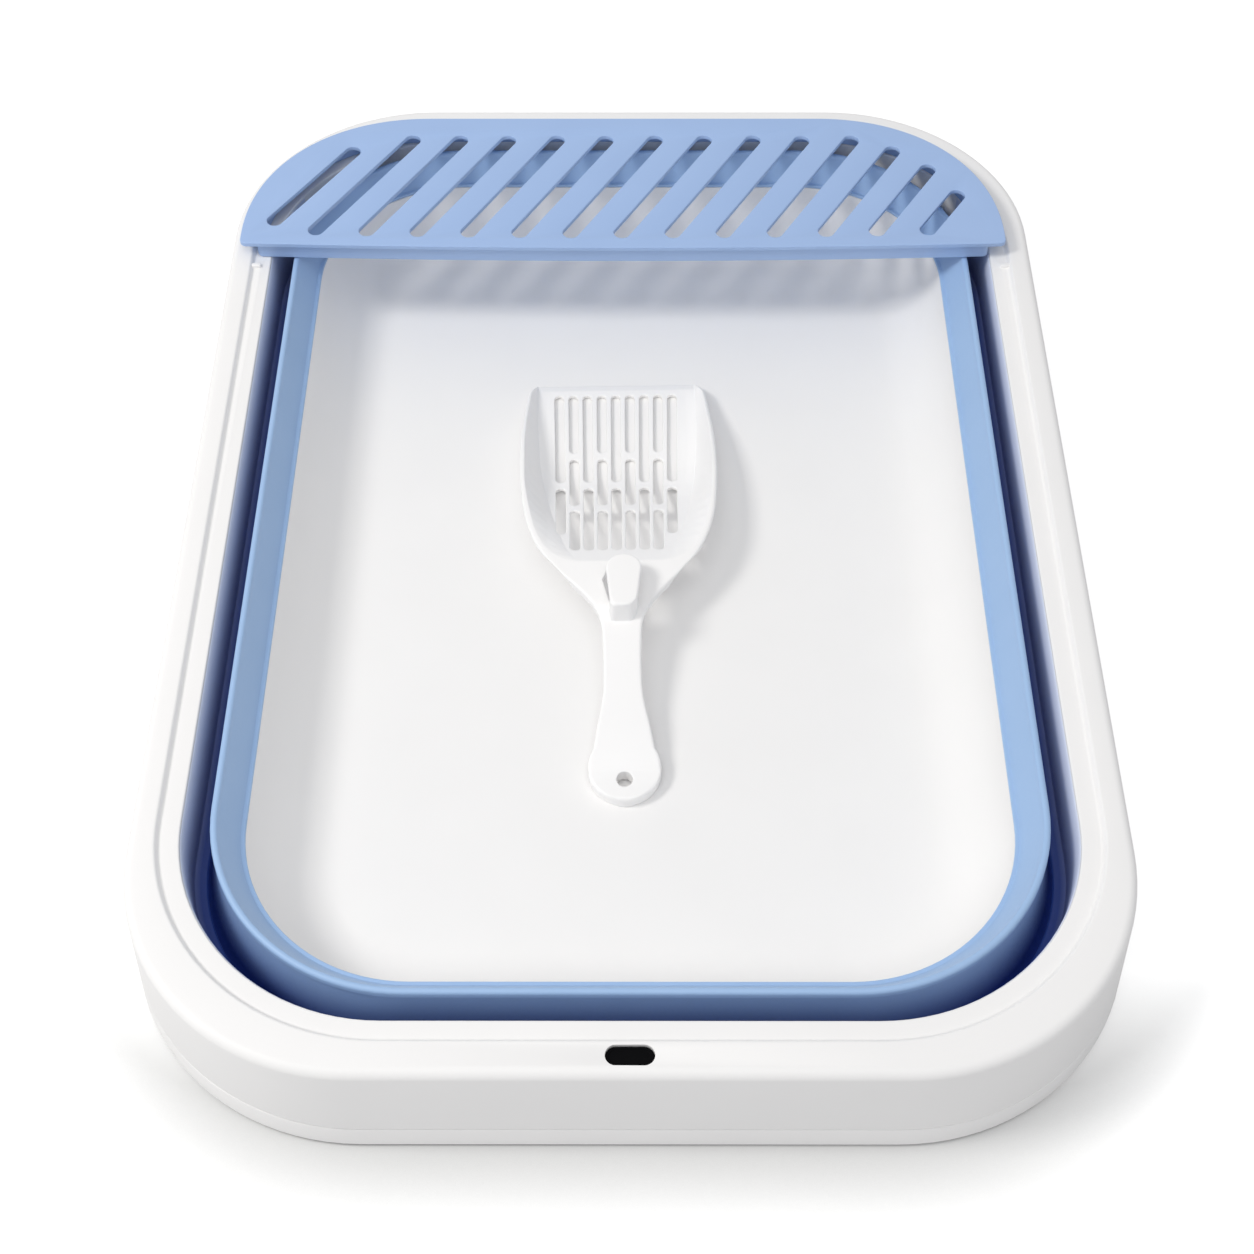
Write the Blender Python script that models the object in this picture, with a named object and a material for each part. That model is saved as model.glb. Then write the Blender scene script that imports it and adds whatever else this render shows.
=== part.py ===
"""Foldable litter box, folded flat, with its sifting grate on the rim and its scoop in the pan.

Metres, +Z up. +X is the viewer's right, +Y runs from the front rim to the grate at the back.
The origin is on the ground under the middle of the box.
"""

import math

import bmesh
import bpy
from mathutils import Matrix, Vector

# overall size of the folded box
TOP_WIDTH = 0.4000
TOP_LENGTH = 0.5530
CORNER_RADIUS = 0.1010
RIM_CORNER_EASE = 0.0110
PAN_CORNER_EASE = 0.0175
FOLDED_HEIGHT = 0.0550
FLARE = 0.0040
SEAM_HEIGHT = 0.0133
SEAM_GAP = 0.0004
WALL = 0.0025
FIT_GAP = 0.0003
EDGE_ROUND = 0.0008

# rim frame, from its outer edge to its inner wall
RIM_EDGE_RADIUS = 0.0040
BAND_WIDTH = 0.0101
STEP_RUN = 0.0026
STEP_DROP = 0.0025
LEDGE_WIDTH = 0.0073
INNER_WALL_FOOT = 0.0208
END_EXTRA = 0.0040
PIP_LENGTH = 0.0050
PIP_DEPTH = 0.0026
PIP_HEIGHT = 0.0016
PIP_INSET = 0.0132
PIP_SETBACK = 0.0051

# hanging slot in the front band and its black insert
SLOT_LENGTH = 0.0187
SLOT_WIDTH = 0.0083
SLOT_INSET = 0.00885
INSERT_RECESS = 0.0013
INSERT_DEPTH = 0.0042
INSERT_FLANGE = 0.0005
INSERT_FLANGE_THICKNESS = 0.0016

# base tray with the pan
BASE_FOOT = 0.0014
UNDERSIDE = 0.0020
FLOOR_TOP = 0.0045
PAN_DROP = 0.0187
PAN_INSET = 0.0430
PAN_RUN = 0.0300
TONGUE_TOP = 0.0180
TONGUE_GAP = 0.0006
TONGUE_THICKNESS = 0.0015
PAN_FRONT_EXTRA = 0.0043
PAN_BACK_EXTRA = -0.0019
PAD_RADIUS = 0.0090
PAD_TOP = 0.0017
PAD_SIDE_INSET = 0.0600
PAD_END_INSET = 0.0715

# folding band: ridge, web and hem
BEAD_INSET = 0.0309
BEAD_WIDTH = 0.0031
BEAD_DROP = 0.0030
BEAD_DEPTH = 0.0037
SKIN = 0.0018
LIP_WIDTH = 0.0028
LIP_THICKNESS = 0.0015
CUFF_DEPTH = 0.0055
WEB_THICKNESS = 0.0014
HEM_THICKNESS = 0.0031
HEM_REACH = 0.0062
HEM_BACK_EXTRA = 0.0022

# sifting grate
GRATE_SIDE_INSET = 0.0095
GRATE_BACK_INSET = 0.0183
GRATE_DEPTH = 0.0961
GRATE_CORNER = 0.0900
GRATE_FRONT_CORNER = 0.0030
GRATE_BOW = 0.0033
GRATE_SHIFT = -0.0039
GRATE_THICKNESS = 0.0025
GRATE_EDGE = 0.0009
FLANGE_HEIGHT = 0.0082
FLANGE_SIDE = 0.0074
FLANGE_FRONT = 0.0017
FLANGE_BACK = 0.0037
FLANGE_THICKNESS = 0.0022
GRATE_SLOTS = 14
GRATE_SLOT_WIDTH = 0.0083
GRATE_SLOT_LEFT = 0.0128
GRATE_SLOT_RIGHT = 0.0406
GRATE_SLOT_FOOT = 0.0102
GRATE_SLOT_HEAD = 0.0193
GRATE_SLOT_SIDE = 0.0156
GRATE_SLOT_ANGLE = math.radians(59)
GRATE_SLOT_EASE = math.radians(5)

# litter scoop, measured from the tip of its blade
SCOOP_LENGTH = 0.2494
SCOOP_HALF_WIDTH = 0.0472
SCOOP_TIP_Y = 0.1197
SCOOP_TIP_X = -0.0072
SCOOP_TURN = math.radians(1.15)
TAIL_END_TURN = math.radians(87)
SCOOP_EDGE = 0.0012
BLADE_SKIN = 0.0020
TIP_SKIN = 0.0011
TIP_BEVEL = 0.0040
FILLET = 0.0045
COLLAR_HEIGHT = 0.0242
COLLAR_SKIN = 0.0024
COLLAR_RUN = 0.0083
HANDLE_STEP = 0.0035
HANDLE_SKIN = 0.0060
TAIL_RADIUS = 0.0159
TAIL_LENGTH = 0.0242
TAIL_HOLE_RADIUS = 0.0034
TAIL_HOLE_INSET = 0.0104
HOOK_HEIGHT = 0.0105
HOOK_ARM = 0.0032
HOOK_SETBACK = 0.0048
HOOK_LENGTH = 0.0287
HOOK_FRONT_RADIUS = 0.0072
HOOK_BACK_HALF = 0.0050
HOOK_LEAN = 0.0013
HOOK_CORNER = 0.0022
HOOK_POST = 0.0052
HOOK_HOLE_SETBACK = 0.0054
HOOK_HOLE_LENGTH = 0.0180
HOOK_HOLE_HALF = 0.0078
HOOK_HOLE_SHIFT = -0.0005
SCOOP_SLOT_WIDTH = 0.00475
SCOOP_SLOT_SHIFT = -0.0004
SCOOP_SLOT_LEAN = math.radians(0.45)
SCOOP_SLOT_FAN = math.radians(0.33)

# shares and counts
SOFT_CORNER_SHARE = 2.15
BLADE_SHARE = 0.530
BACK_START_SHARE = 0.378
BACK_STRAIGHT_SHARE = 0.643
LIP_ROUND_SHARE = 0.6
RIM_ROUND_SHARE = 0.3
FILLET_SHARE = 0.8
TAIL_INNER_SHARE = 0.7
TAIL_FLOOR_SHARE = 0.4
SCOOP_SLOT_PITCH_SHARE = 0.1515
CORNER_STEPS = 11
ROUND_STEPS = 4
CAPSULE_STEPS = 6
OUTER = (0.0, 0.0, 0.0)
RIM_INSIDE = (END_EXTRA, END_EXTRA, RIM_CORNER_EASE)
PAN = (PAN_FRONT_EXTRA, PAN_BACK_EXTRA, PAN_CORNER_EASE)
HEM_END = (END_EXTRA, HEM_BACK_EXTRA, RIM_CORNER_EASE)

# places that follow from the sizes above
RIM_INSET = BAND_WIDTH + STEP_RUN + LEDGE_WIDTH
LEDGE_TOP = FOLDED_HEIGHT - STEP_DROP
PAN_TOP = FOLDED_HEIGHT - PAN_DROP
BEAD_TOP = FOLDED_HEIGHT - BEAD_DROP
SLOT_Y = SLOT_INSET - TOP_LENGTH / 2
PAD_X = TOP_WIDTH / 2 - PAD_SIDE_INSET
PAD_Y = TOP_LENGTH / 2 - PAD_END_INSET
GRATE_HALF_WIDTH = TOP_WIDTH / 2 - GRATE_SIDE_INSET
GRATE_BACK = TOP_LENGTH / 2 - GRATE_BACK_INSET
GRATE_FRONT = GRATE_BACK - GRATE_DEPTH
GRATE_SLOT_START = GRATE_SLOT_LEFT - GRATE_HALF_WIDTH
GRATE_SLOT_PITCH = (GRATE_HALF_WIDTH - GRATE_SLOT_RIGHT - GRATE_SLOT_START) / (GRATE_SLOTS - 1)
PIP_X = TOP_WIDTH / 2 - PIP_INSET
PIP_Y = GRATE_FRONT - PIP_SETBACK
BLADE_LENGTH = BLADE_SHARE * SCOOP_LENGTH
BACK_START = BACK_START_SHARE * BLADE_LENGTH
BACK_STRAIGHT = BACK_STRAIGHT_SHARE * BLADE_LENGTH
HANDLE_START = BLADE_LENGTH + COLLAR_RUN
HANDLE_FULL = HANDLE_START + HANDLE_STEP
TAIL_NOTCH = SCOOP_LENGTH - TAIL_LENGTH
TAIL_HOLE_PLACE = SCOOP_LENGTH - TAIL_HOLE_INSET
HOOK_FRONT = BLADE_LENGTH + HOOK_SETBACK
HOOK_BACK = HOOK_FRONT + HOOK_LENGTH
HOOK_HOLE_FRONT = BLADE_LENGTH + HOOK_HOLE_SETBACK
HOOK_HOLE_BACK = HOOK_HOLE_FRONT + HOOK_HOLE_LENGTH
SCOOP_SLOT_PITCH = SCOOP_SLOT_PITCH_SHARE * SCOOP_HALF_WIDTH


def clear_scene():
    for obj in list(bpy.data.objects):
        bpy.data.objects.remove(obj, do_unlink=True)


def material(name, color, roughness, metallic=0.0):
    made = bpy.data.materials.new(name)
    made.use_nodes = True
    shader = made.node_tree.nodes["Principled BSDF"]
    shader.inputs["Base Color"].default_value = (*color, 1.0)
    shader.inputs["Roughness"].default_value = roughness
    shader.inputs["Metallic"].default_value = metallic
    return made


def soft_corner(center, radius, start):
    """A quarter turn from the angle start, a little fuller than a circle."""
    points = []
    power = SOFT_CORNER_SHARE
    for step in range(CORNER_STEPS + 1):
        turn = start + math.pi / 2 * step / CORNER_STEPS
        across = math.cos(turn)
        along = math.sin(turn)
        full = (abs(across) ** power + abs(along) ** power) ** (-1 / power)
        points.append((center[0] + radius * across * full, center[1] + radius * along * full))
    return points


def box_ring(inset, height, extras):
    """One closed ring of the box's outline, set in by inset.

    The extras set it in more at its front and at its back, and make its corners wider.
    """
    near, far, ease = extras
    radius = CORNER_RADIUS - inset + ease
    right = TOP_WIDTH / 2 - CORNER_RADIUS - ease
    front = CORNER_RADIUS + ease + near - TOP_LENGTH / 2
    back = TOP_LENGTH / 2 - CORNER_RADIUS - ease - far
    flat = soft_corner((right, back), radius, 0.0)
    flat += soft_corner((-right, back), radius, math.pi / 2)
    flat += soft_corner((-right, front), radius, math.pi)
    flat += soft_corner((right, front), radius, 1.5 * math.pi)
    return [Vector((x, y, height)) for x, y in flat]


def add_skin(mesh, rings, joined):
    """Faces through a row of rings, joined end to end or closed by a cap at each end."""
    rows = [[mesh.verts.new(point) for point in ring] for ring in rings]
    pairs = list(zip(rows, rows[1:]))
    if joined:
        pairs.append((rows[-1], rows[0]))
    for lower, upper in pairs:
        for at in range(len(lower)):
            after = (at + 1) % len(lower)
            mesh.faces.new((lower[at], lower[after], upper[after], upper[at]))
    if not joined:
        mesh.faces.new(list(reversed(rows[0])))
        mesh.faces.new(rows[-1])


def to_object(name, mesh, surface=None):
    bmesh.ops.recalc_face_normals(mesh, faces=mesh.faces)
    data = bpy.data.meshes.new(name)
    mesh.to_mesh(data)
    mesh.free()
    obj = bpy.data.objects.new(name, data)
    bpy.context.scene.collection.objects.link(obj)
    if surface:
        data.materials.append(surface)
    return obj


def skin_rings(name, rings, joined=False, surface=None):
    """A mesh through a row of rings: a ring-shaped piece when joined, or a block with two caps."""
    mesh = bmesh.new()
    add_skin(mesh, rings, joined)
    return to_object(name, mesh, surface)


def finish(obj, angle=40):
    """Smooth shading that keeps the real edges sharp."""
    obj.data.shade_smooth()
    obj.data.set_sharp_from_angle(angle=math.radians(angle))
    return obj


def combine(obj, other, operation):
    """Applies one Boolean with other and removes it."""
    other.hide_render = True
    other.display_type = "WIRE"
    step = obj.modifiers.new(operation.title(), "BOOLEAN")
    step.operation = operation
    step.solver = "EXACT"
    step.object = other
    bpy.context.view_layer.update()
    graph = bpy.context.evaluated_depsgraph_get()
    result = bpy.data.meshes.new_from_object(obj.evaluated_get(graph))
    obj.modifiers.clear()
    obj.data = result
    bpy.data.objects.remove(other, do_unlink=True)
    return obj


def capsule_ring(middle, length, width, height, turn=0.0):
    """A slot's outline: length is over its round ends, and turn swings it about its middle."""
    radius = width / 2
    reach = length / 2 - radius
    points = []
    for end, start in ((1, -math.pi / 2), (-1, math.pi / 2)):
        for step in range(CAPSULE_STEPS + 1):
            angle = start + math.pi * step / CAPSULE_STEPS
            points.append((end * reach + radius * math.cos(angle), radius * math.sin(angle)))
    spin = Matrix.Rotation(turn, 3, "Z")
    return [spin @ Vector((x, y, 0)) + Vector((middle[0], middle[1], height)) for x, y in points]


def circle_ring(middle, radius, height):
    turns = [math.tau * step / (4 * CAPSULE_STEPS) for step in range(4 * CAPSULE_STEPS)]
    return [
        Vector((middle[0] + radius * math.cos(turn), middle[1] + radius * math.sin(turn), height))
        for turn in turns
    ]


def slot_cutter(ends, width, heights):
    """One cutter with a round-ended prism for each pair of end centres."""
    mesh = bmesh.new()
    for low, high in ends:
        along = high - low
        turn = math.atan2(along.y, along.x)
        size = (along.length + width, width)
        rings = [capsule_ring((low + high) / 2, *size, height, turn) for height in heights]
        add_skin(mesh, rings, False)
    return to_object("slot_cutter", mesh)


def flare_at(height):
    """How far the outer wall stands out beyond the rim's top outline at this height."""
    top = FOLDED_HEIGHT - RIM_EDGE_RADIUS
    return FLARE * max(0.0, top - height) / top


def rim_frame(surface):
    """The rim: outer skirt, flat band, step, ledge and inner wall in one moulding, open underneath."""
    foot = SEAM_HEIGHT + SEAM_GAP
    shoulder = FOLDED_HEIGHT - RIM_EDGE_RADIUS
    inner = RIM_INSET
    section = [
        (EDGE_ROUND - flare_at(foot), foot, OUTER),
        (-flare_at(foot), foot + EDGE_ROUND, OUTER),
    ]
    for step in range(ROUND_STEPS + 1):
        turn = math.pi / 2 * step / ROUND_STEPS
        out = RIM_EDGE_RADIUS * (1 - math.cos(turn))
        up = RIM_EDGE_RADIUS * math.sin(turn)
        section.append((out, shoulder + up, OUTER))
    section += [
        (BAND_WIDTH - EDGE_ROUND / 2, FOLDED_HEIGHT, RIM_INSIDE),
        (BAND_WIDTH + EDGE_ROUND / 2, FOLDED_HEIGHT - EDGE_ROUND / 2, RIM_INSIDE),
        (BAND_WIDTH + STEP_RUN, LEDGE_TOP, RIM_INSIDE),
        (inner - EDGE_ROUND, LEDGE_TOP, RIM_INSIDE),
        (inner, LEDGE_TOP - EDGE_ROUND, RIM_INSIDE),
        (inner, INNER_WALL_FOOT, RIM_INSIDE),
        (inner - WALL, INNER_WALL_FOOT, RIM_INSIDE),
        (inner - WALL, LEDGE_TOP - WALL, RIM_INSIDE),
        (BAND_WIDTH + STEP_RUN - EDGE_ROUND, LEDGE_TOP - WALL, RIM_INSIDE),
        (BAND_WIDTH - EDGE_ROUND, FOLDED_HEIGHT - WALL, RIM_INSIDE),
        (RIM_EDGE_RADIUS, FOLDED_HEIGHT - WALL, OUTER),
        (WALL, shoulder, OUTER),
        (WALL - flare_at(foot), foot, OUTER),
    ]
    rim = skin_rings("rim_frame", [box_ring(*point) for point in section], True, surface)
    reach = Vector(((SLOT_LENGTH - SLOT_WIDTH) / 2, 0))
    middle = Vector((0, SLOT_Y))
    heights = (LEDGE_TOP - 2 * WALL, FOLDED_HEIGHT + WALL)
    combine(rim, slot_cutter([(middle - reach, middle + reach)], SLOT_WIDTH, heights), "DIFFERENCE")
    for side in (-1, 1):
        heights = (LEDGE_TOP - EDGE_ROUND, LEDGE_TOP + PIP_HEIGHT)
        insets = (0.0, EDGE_ROUND)
        rings = [
            capsule_ring((side * PIP_X, PIP_Y), PIP_LENGTH - inset, PIP_DEPTH - inset, height)
            for height, inset in zip(heights, insets)
        ]
        combine(rim, skin_rings("pip", rings), "UNION")
    return finish(rim)


def slot_insert(surface):
    """The black insert of the hanging slot, held under the band by its flange."""
    top = FOLDED_HEIGHT - INSERT_RECESS
    under_band = FOLDED_HEIGHT - WALL - FIT_GAP
    body_length = SLOT_LENGTH - 2 * FIT_GAP
    body_width = SLOT_WIDTH - 2 * FIT_GAP
    steps = (
        (0.0, top - INSERT_DEPTH),
        (0.0, under_band - INSERT_FLANGE_THICKNESS),
        (INSERT_FLANGE, under_band - INSERT_FLANGE_THICKNESS),
        (INSERT_FLANGE, under_band),
        (0.0, under_band),
        (0.0, top),
    )
    rings = [
        capsule_ring((0, SLOT_Y), body_length + 2 * wider, body_width + 2 * wider, height)
        for wider, height in steps
    ]
    return finish(skin_rings("slot_insert", rings, False, surface))


def base_tray(surface):
    """The tray that stands on the ground: pan, floor plate and the low outer wall the rim rests on."""
    seat = SEAM_HEIGHT
    inside = WALL - flare_at(seat)
    tongue = WALL - flare_at(TONGUE_TOP) + TONGUE_GAP
    corner = PAN_INSET + PAN_RUN
    section = []
    for step in range(2 * ROUND_STEPS + 1):
        turn = math.pi / 2 * (1 - step / (2 * ROUND_STEPS))
        run = PAN_RUN * math.cos(turn)
        rise = (PAN_TOP - FLOOR_TOP) * (1 - math.sin(turn))
        section.append((corner - run, FLOOR_TOP + rise, PAN))
    meeting = math.asin(1 - (FLOOR_TOP - UNDERSIDE) / (PAN_TOP - UNDERSIDE))
    for step in range(2 * ROUND_STEPS + 1):
        turn = meeting * step / (2 * ROUND_STEPS)
        run = (PAN_RUN + WALL) * math.cos(turn)
        rise = (PAN_TOP - UNDERSIDE) * (1 - math.sin(turn))
        section.append((corner - run, UNDERSIDE + rise, PAN))
    section += [
        (WALL - flare_at(FLOOR_TOP), FLOOR_TOP, OUTER),
        (inside, seat - WALL, OUTER),
        (tongue + TONGUE_THICKNESS, seat - WALL / 2, OUTER),
        (tongue + TONGUE_THICKNESS, TONGUE_TOP, OUTER),
        (tongue, TONGUE_TOP, OUTER),
        (tongue, seat, OUTER),
        (EDGE_ROUND - flare_at(seat), seat, OUTER),
        (-flare_at(seat), seat - EDGE_ROUND / 2, OUTER),
        (-flare_at(BASE_FOOT), BASE_FOOT + EDGE_ROUND, OUTER),
        (EDGE_ROUND - flare_at(BASE_FOOT), BASE_FOOT, OUTER),
        (WALL - flare_at(BASE_FOOT), BASE_FOOT, OUTER),
        (WALL - flare_at(BASE_FOOT), UNDERSIDE, OUTER),
        (corner, UNDERSIDE, PAN),
    ]
    rings = [box_ring(*point) for point in section]
    return finish(skin_rings("base_tray", rings, False, surface), 35)


def foot_pad(name, x, y, surface):
    """One rubber pad under the floor plate."""
    steps = ((PAD_RADIUS - EDGE_ROUND, 0.0), (PAD_RADIUS, EDGE_ROUND), (PAD_RADIUS, PAD_TOP))
    rings = [circle_ring((x, y), radius, height) for radius, height in steps]
    return finish(skin_rings(name, rings, False, surface))


def band_ridge(surface):
    """The standing fold of the band: bead, sloping skin, lip on the pan's edge and cuff outside it."""
    radius = BEAD_WIDTH / 2
    middle = BEAD_INSET + radius
    bead_foot = BEAD_TOP - BEAD_DEPTH
    lip_top = PAN_TOP + FIT_GAP + LIP_THICKNESS
    lip_start = PAN_INSET - LIP_WIDTH
    cuff_inner = PAN_INSET - WALL - FIT_GAP
    cuff_outer = cuff_inner - LIP_THICKNESS
    section = []
    for step in range(ROUND_STEPS + 1):
        turn = math.pi * (1 - step / ROUND_STEPS)
        section.append((middle + radius * math.cos(turn), BEAD_TOP - radius + radius * math.sin(turn), PAN))
    slope_shares = ((0.35, 0.62), (0.70, 0.25), (0.90, 0.06))
    top = BEAD_TOP - radius
    start = BEAD_INSET + BEAD_WIDTH
    for run_share, rise_share in slope_shares:
        section.append((start + (lip_start - start) * run_share, lip_top + (top - lip_top) * rise_share, PAN))
    section += [
        (lip_start + EDGE_ROUND, lip_top, PAN),
        (PAN_INSET - EDGE_ROUND / 2, lip_top, PAN),
        (PAN_INSET, lip_top - EDGE_ROUND / 2, PAN),
        (PAN_INSET, PAN_TOP + FIT_GAP, PAN),
        (cuff_inner, PAN_TOP + FIT_GAP, PAN),
        (cuff_inner, PAN_TOP - CUFF_DEPTH, PAN),
        (cuff_outer, PAN_TOP - CUFF_DEPTH, PAN),
        (cuff_outer, lip_top - EDGE_ROUND, PAN),
    ]
    for run_share, rise_share in reversed(slope_shares[:2]):
        inset = start - SKIN + (lip_start - start) * run_share
        section.append((inset, lip_top - EDGE_ROUND + (top - lip_top) * rise_share, PAN))
    section += [
        (start - EDGE_ROUND, bead_foot, PAN),
        (BEAD_INSET + EDGE_ROUND / 2, bead_foot, PAN),
        (BEAD_INSET, bead_foot + EDGE_ROUND / 2, PAN),
    ]
    return finish(skin_rings("band_ridge", [box_ring(*point) for point in section], True, surface), 50)


def between(low, high, share):
    return tuple(a + (b - a) * share for a, b in zip(low, high))


def band_web(surface):
    """The thin web that turns over when the rim is pulled up, from the hem up to the bead."""
    low = INNER_WALL_FOOT - FIT_GAP - HEM_THICKNESS / 2
    high = BEAD_TOP - BEAD_DEPTH - FIT_GAP
    foot = RIM_INSET + HEM_REACH + FIT_GAP + WEB_THICKNESS / 2
    head = BEAD_INSET + WEB_THICKNESS
    rise_shares = (0.0, 0.08, 0.20, 0.42, 0.68, 0.88, 1.0)
    run_shares = (0.0, 0.26, 0.45, 0.70, 0.88, 0.96, 1.0)
    middle = []
    for rise_share, run_share in zip(rise_shares, run_shares):
        extras = between(HEM_END, PAN, run_share)
        middle.append((foot + (head - foot) * run_share, low + (high - low) * rise_share, extras))
    half = WEB_THICKNESS / 2
    section = [(inset - half, height, extras) for inset, height, extras in middle]
    section += [(inset + half, height, extras) for inset, height, extras in reversed(middle)]
    return finish(skin_rings("band_web", [box_ring(*point) for point in section], True, surface), 60)


def band_hem(surface):
    """The band's outer edge, moulded onto the foot of the rim's inner wall."""
    top = INNER_WALL_FOOT - FIT_GAP
    low = top - HEM_THICKNESS
    end = RIM_INSET + HEM_REACH
    start = RIM_INSET - WALL - FIT_GAP
    section = (
        (start, low + EDGE_ROUND, RIM_INSIDE),
        (start, top, RIM_INSIDE),
        (RIM_INSET + FIT_GAP, top, RIM_INSIDE),
        (end - EDGE_ROUND, top - EDGE_ROUND, HEM_END),
        (end, top - 2 * EDGE_ROUND, HEM_END),
        (end - EDGE_ROUND, low, HEM_END),
        (start + EDGE_ROUND, low, RIM_INSIDE),
    )
    return finish(skin_rings("band_hem", [box_ring(*point) for point in section], True, surface), 60)


def grate_ring(height, side=0.0, front=0.0, back=0.0, ease=0.0):
    """The grate's D-shaped outline, set in by side, front and back, with its corners wider by ease."""
    half = GRATE_HALF_WIDTH - side
    radius = GRATE_CORNER - max(side, back) + ease
    reach = half - radius
    top = GRATE_BACK - back - radius
    foot = GRATE_FRONT + front
    small = GRATE_FRONT_CORNER
    flat = soft_corner((reach, top), radius, 0.0) + soft_corner((-reach, top), radius, math.pi / 2)
    flat = [(x, max(y, foot + small + EDGE_ROUND)) for x, y in flat]
    for step in range(ROUND_STEPS):
        turn = math.pi + math.pi / 2 * step / ROUND_STEPS
        flat.append((small - half + small * math.cos(turn), foot + small + small * math.sin(turn)))
    count = 4 * ROUND_STEPS
    for step in range(count + 1):
        share = 2 * step / count - 1
        flat.append((share * (half - small), foot - GRATE_BOW * (1 - share * share)))
    for step in range(1, ROUND_STEPS + 1):
        turn = 1.5 * math.pi + math.pi / 2 * step / ROUND_STEPS
        flat.append((half - small + small * math.cos(turn), foot + small + small * math.sin(turn)))
    return [Vector((x, y, height)) for x, y in flat]


def inside_grate(x, y, margin):
    """Whether the point lies in the grate's outline set in by margin."""
    half = GRATE_HALF_WIDTH - margin
    radius = GRATE_CORNER + RIM_CORNER_EASE - margin
    top = GRATE_BACK - margin - radius
    over = abs(x) - (half - radius)
    up = y - top
    if over > 0 and up > 0:
        return math.hypot(over, up) < radius
    return abs(x) < half and y < GRATE_BACK - margin


def grate_slot_ends():
    """The end centres of each diagonal slot: each starts behind the front edge and runs until its margin."""
    step = GRATE_SLOT_WIDTH / 16
    ends = []
    for index in range(GRATE_SLOTS):
        x = GRATE_SLOT_START + index * GRATE_SLOT_PITCH
        share = x / GRATE_HALF_WIDTH
        angle = GRATE_SLOT_ANGLE - GRATE_SLOT_EASE * abs(share) ** 3
        run = Vector((math.cos(angle), math.sin(angle), 0)) * step
        low = Vector((x, GRATE_FRONT - GRATE_BOW * (1 - share * share) + GRATE_SLOT_FOOT, 0))
        while not inside_grate(low.x, low.y, GRATE_SLOT_SIDE):
            low += run
        high = low.copy()
        while inside_grate(high.x, high.y, GRATE_SLOT_SIDE) and high.y < GRATE_BACK - GRATE_SLOT_HEAD:
            high += run
        ends.append((low, high))
    return ends


def sifting_grate(surface):
    """The slotted grate: a thin bowed plate on a flange that stands on the rim's ledge."""
    foot = LEDGE_TOP + FIT_GAP
    under = foot + FLANGE_HEIGHT
    top = under + GRATE_THICKNESS
    outer = (FLANGE_SIDE, FLANGE_FRONT, FLANGE_BACK, RIM_CORNER_EASE)
    inner = tuple(inset + FLANGE_THICKNESS for inset in outer[:3]) + outer[3:]
    rings = [
        grate_ring(top, GRATE_EDGE, GRATE_EDGE, GRATE_EDGE),
        grate_ring(top - GRATE_EDGE),
        grate_ring(under),
        grate_ring(under, *outer),
        grate_ring(foot, *outer),
        grate_ring(foot, *inner),
        grate_ring(under, *inner),
    ]
    grate = skin_rings("sifting_grate", rings, False, surface)
    heights = (foot, top + GRATE_THICKNESS)
    combine(grate, slot_cutter(grate_slot_ends(), GRATE_SLOT_WIDTH, heights), "DIFFERENCE")
    grate.location.x = GRATE_SHIFT
    return finish(grate, 30)


def eased(table, at):
    """A smooth curve through a table of (place, value) pairs."""
    last = len(table) - 1
    index = 0
    while index < last - 1 and at > table[index + 1][0]:
        index += 1
    (low, first), (high, second) = table[index], table[index + 1]
    before = table[max(index - 1, 0)]
    after = table[min(index + 2, last)]
    run = high - low
    start_slope = (second - before[1]) / (high - before[0])
    end_slope = (after[1] - first) / (after[0] - low)
    share = min(max((at - low) / run, 0.0), 1.0)
    curve = share * share * (3 - 2 * share)
    bend = share * (1 - share)
    return first + (second - first) * curve + run * bend * ((1 - share) * start_slope - share * end_slope)


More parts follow.
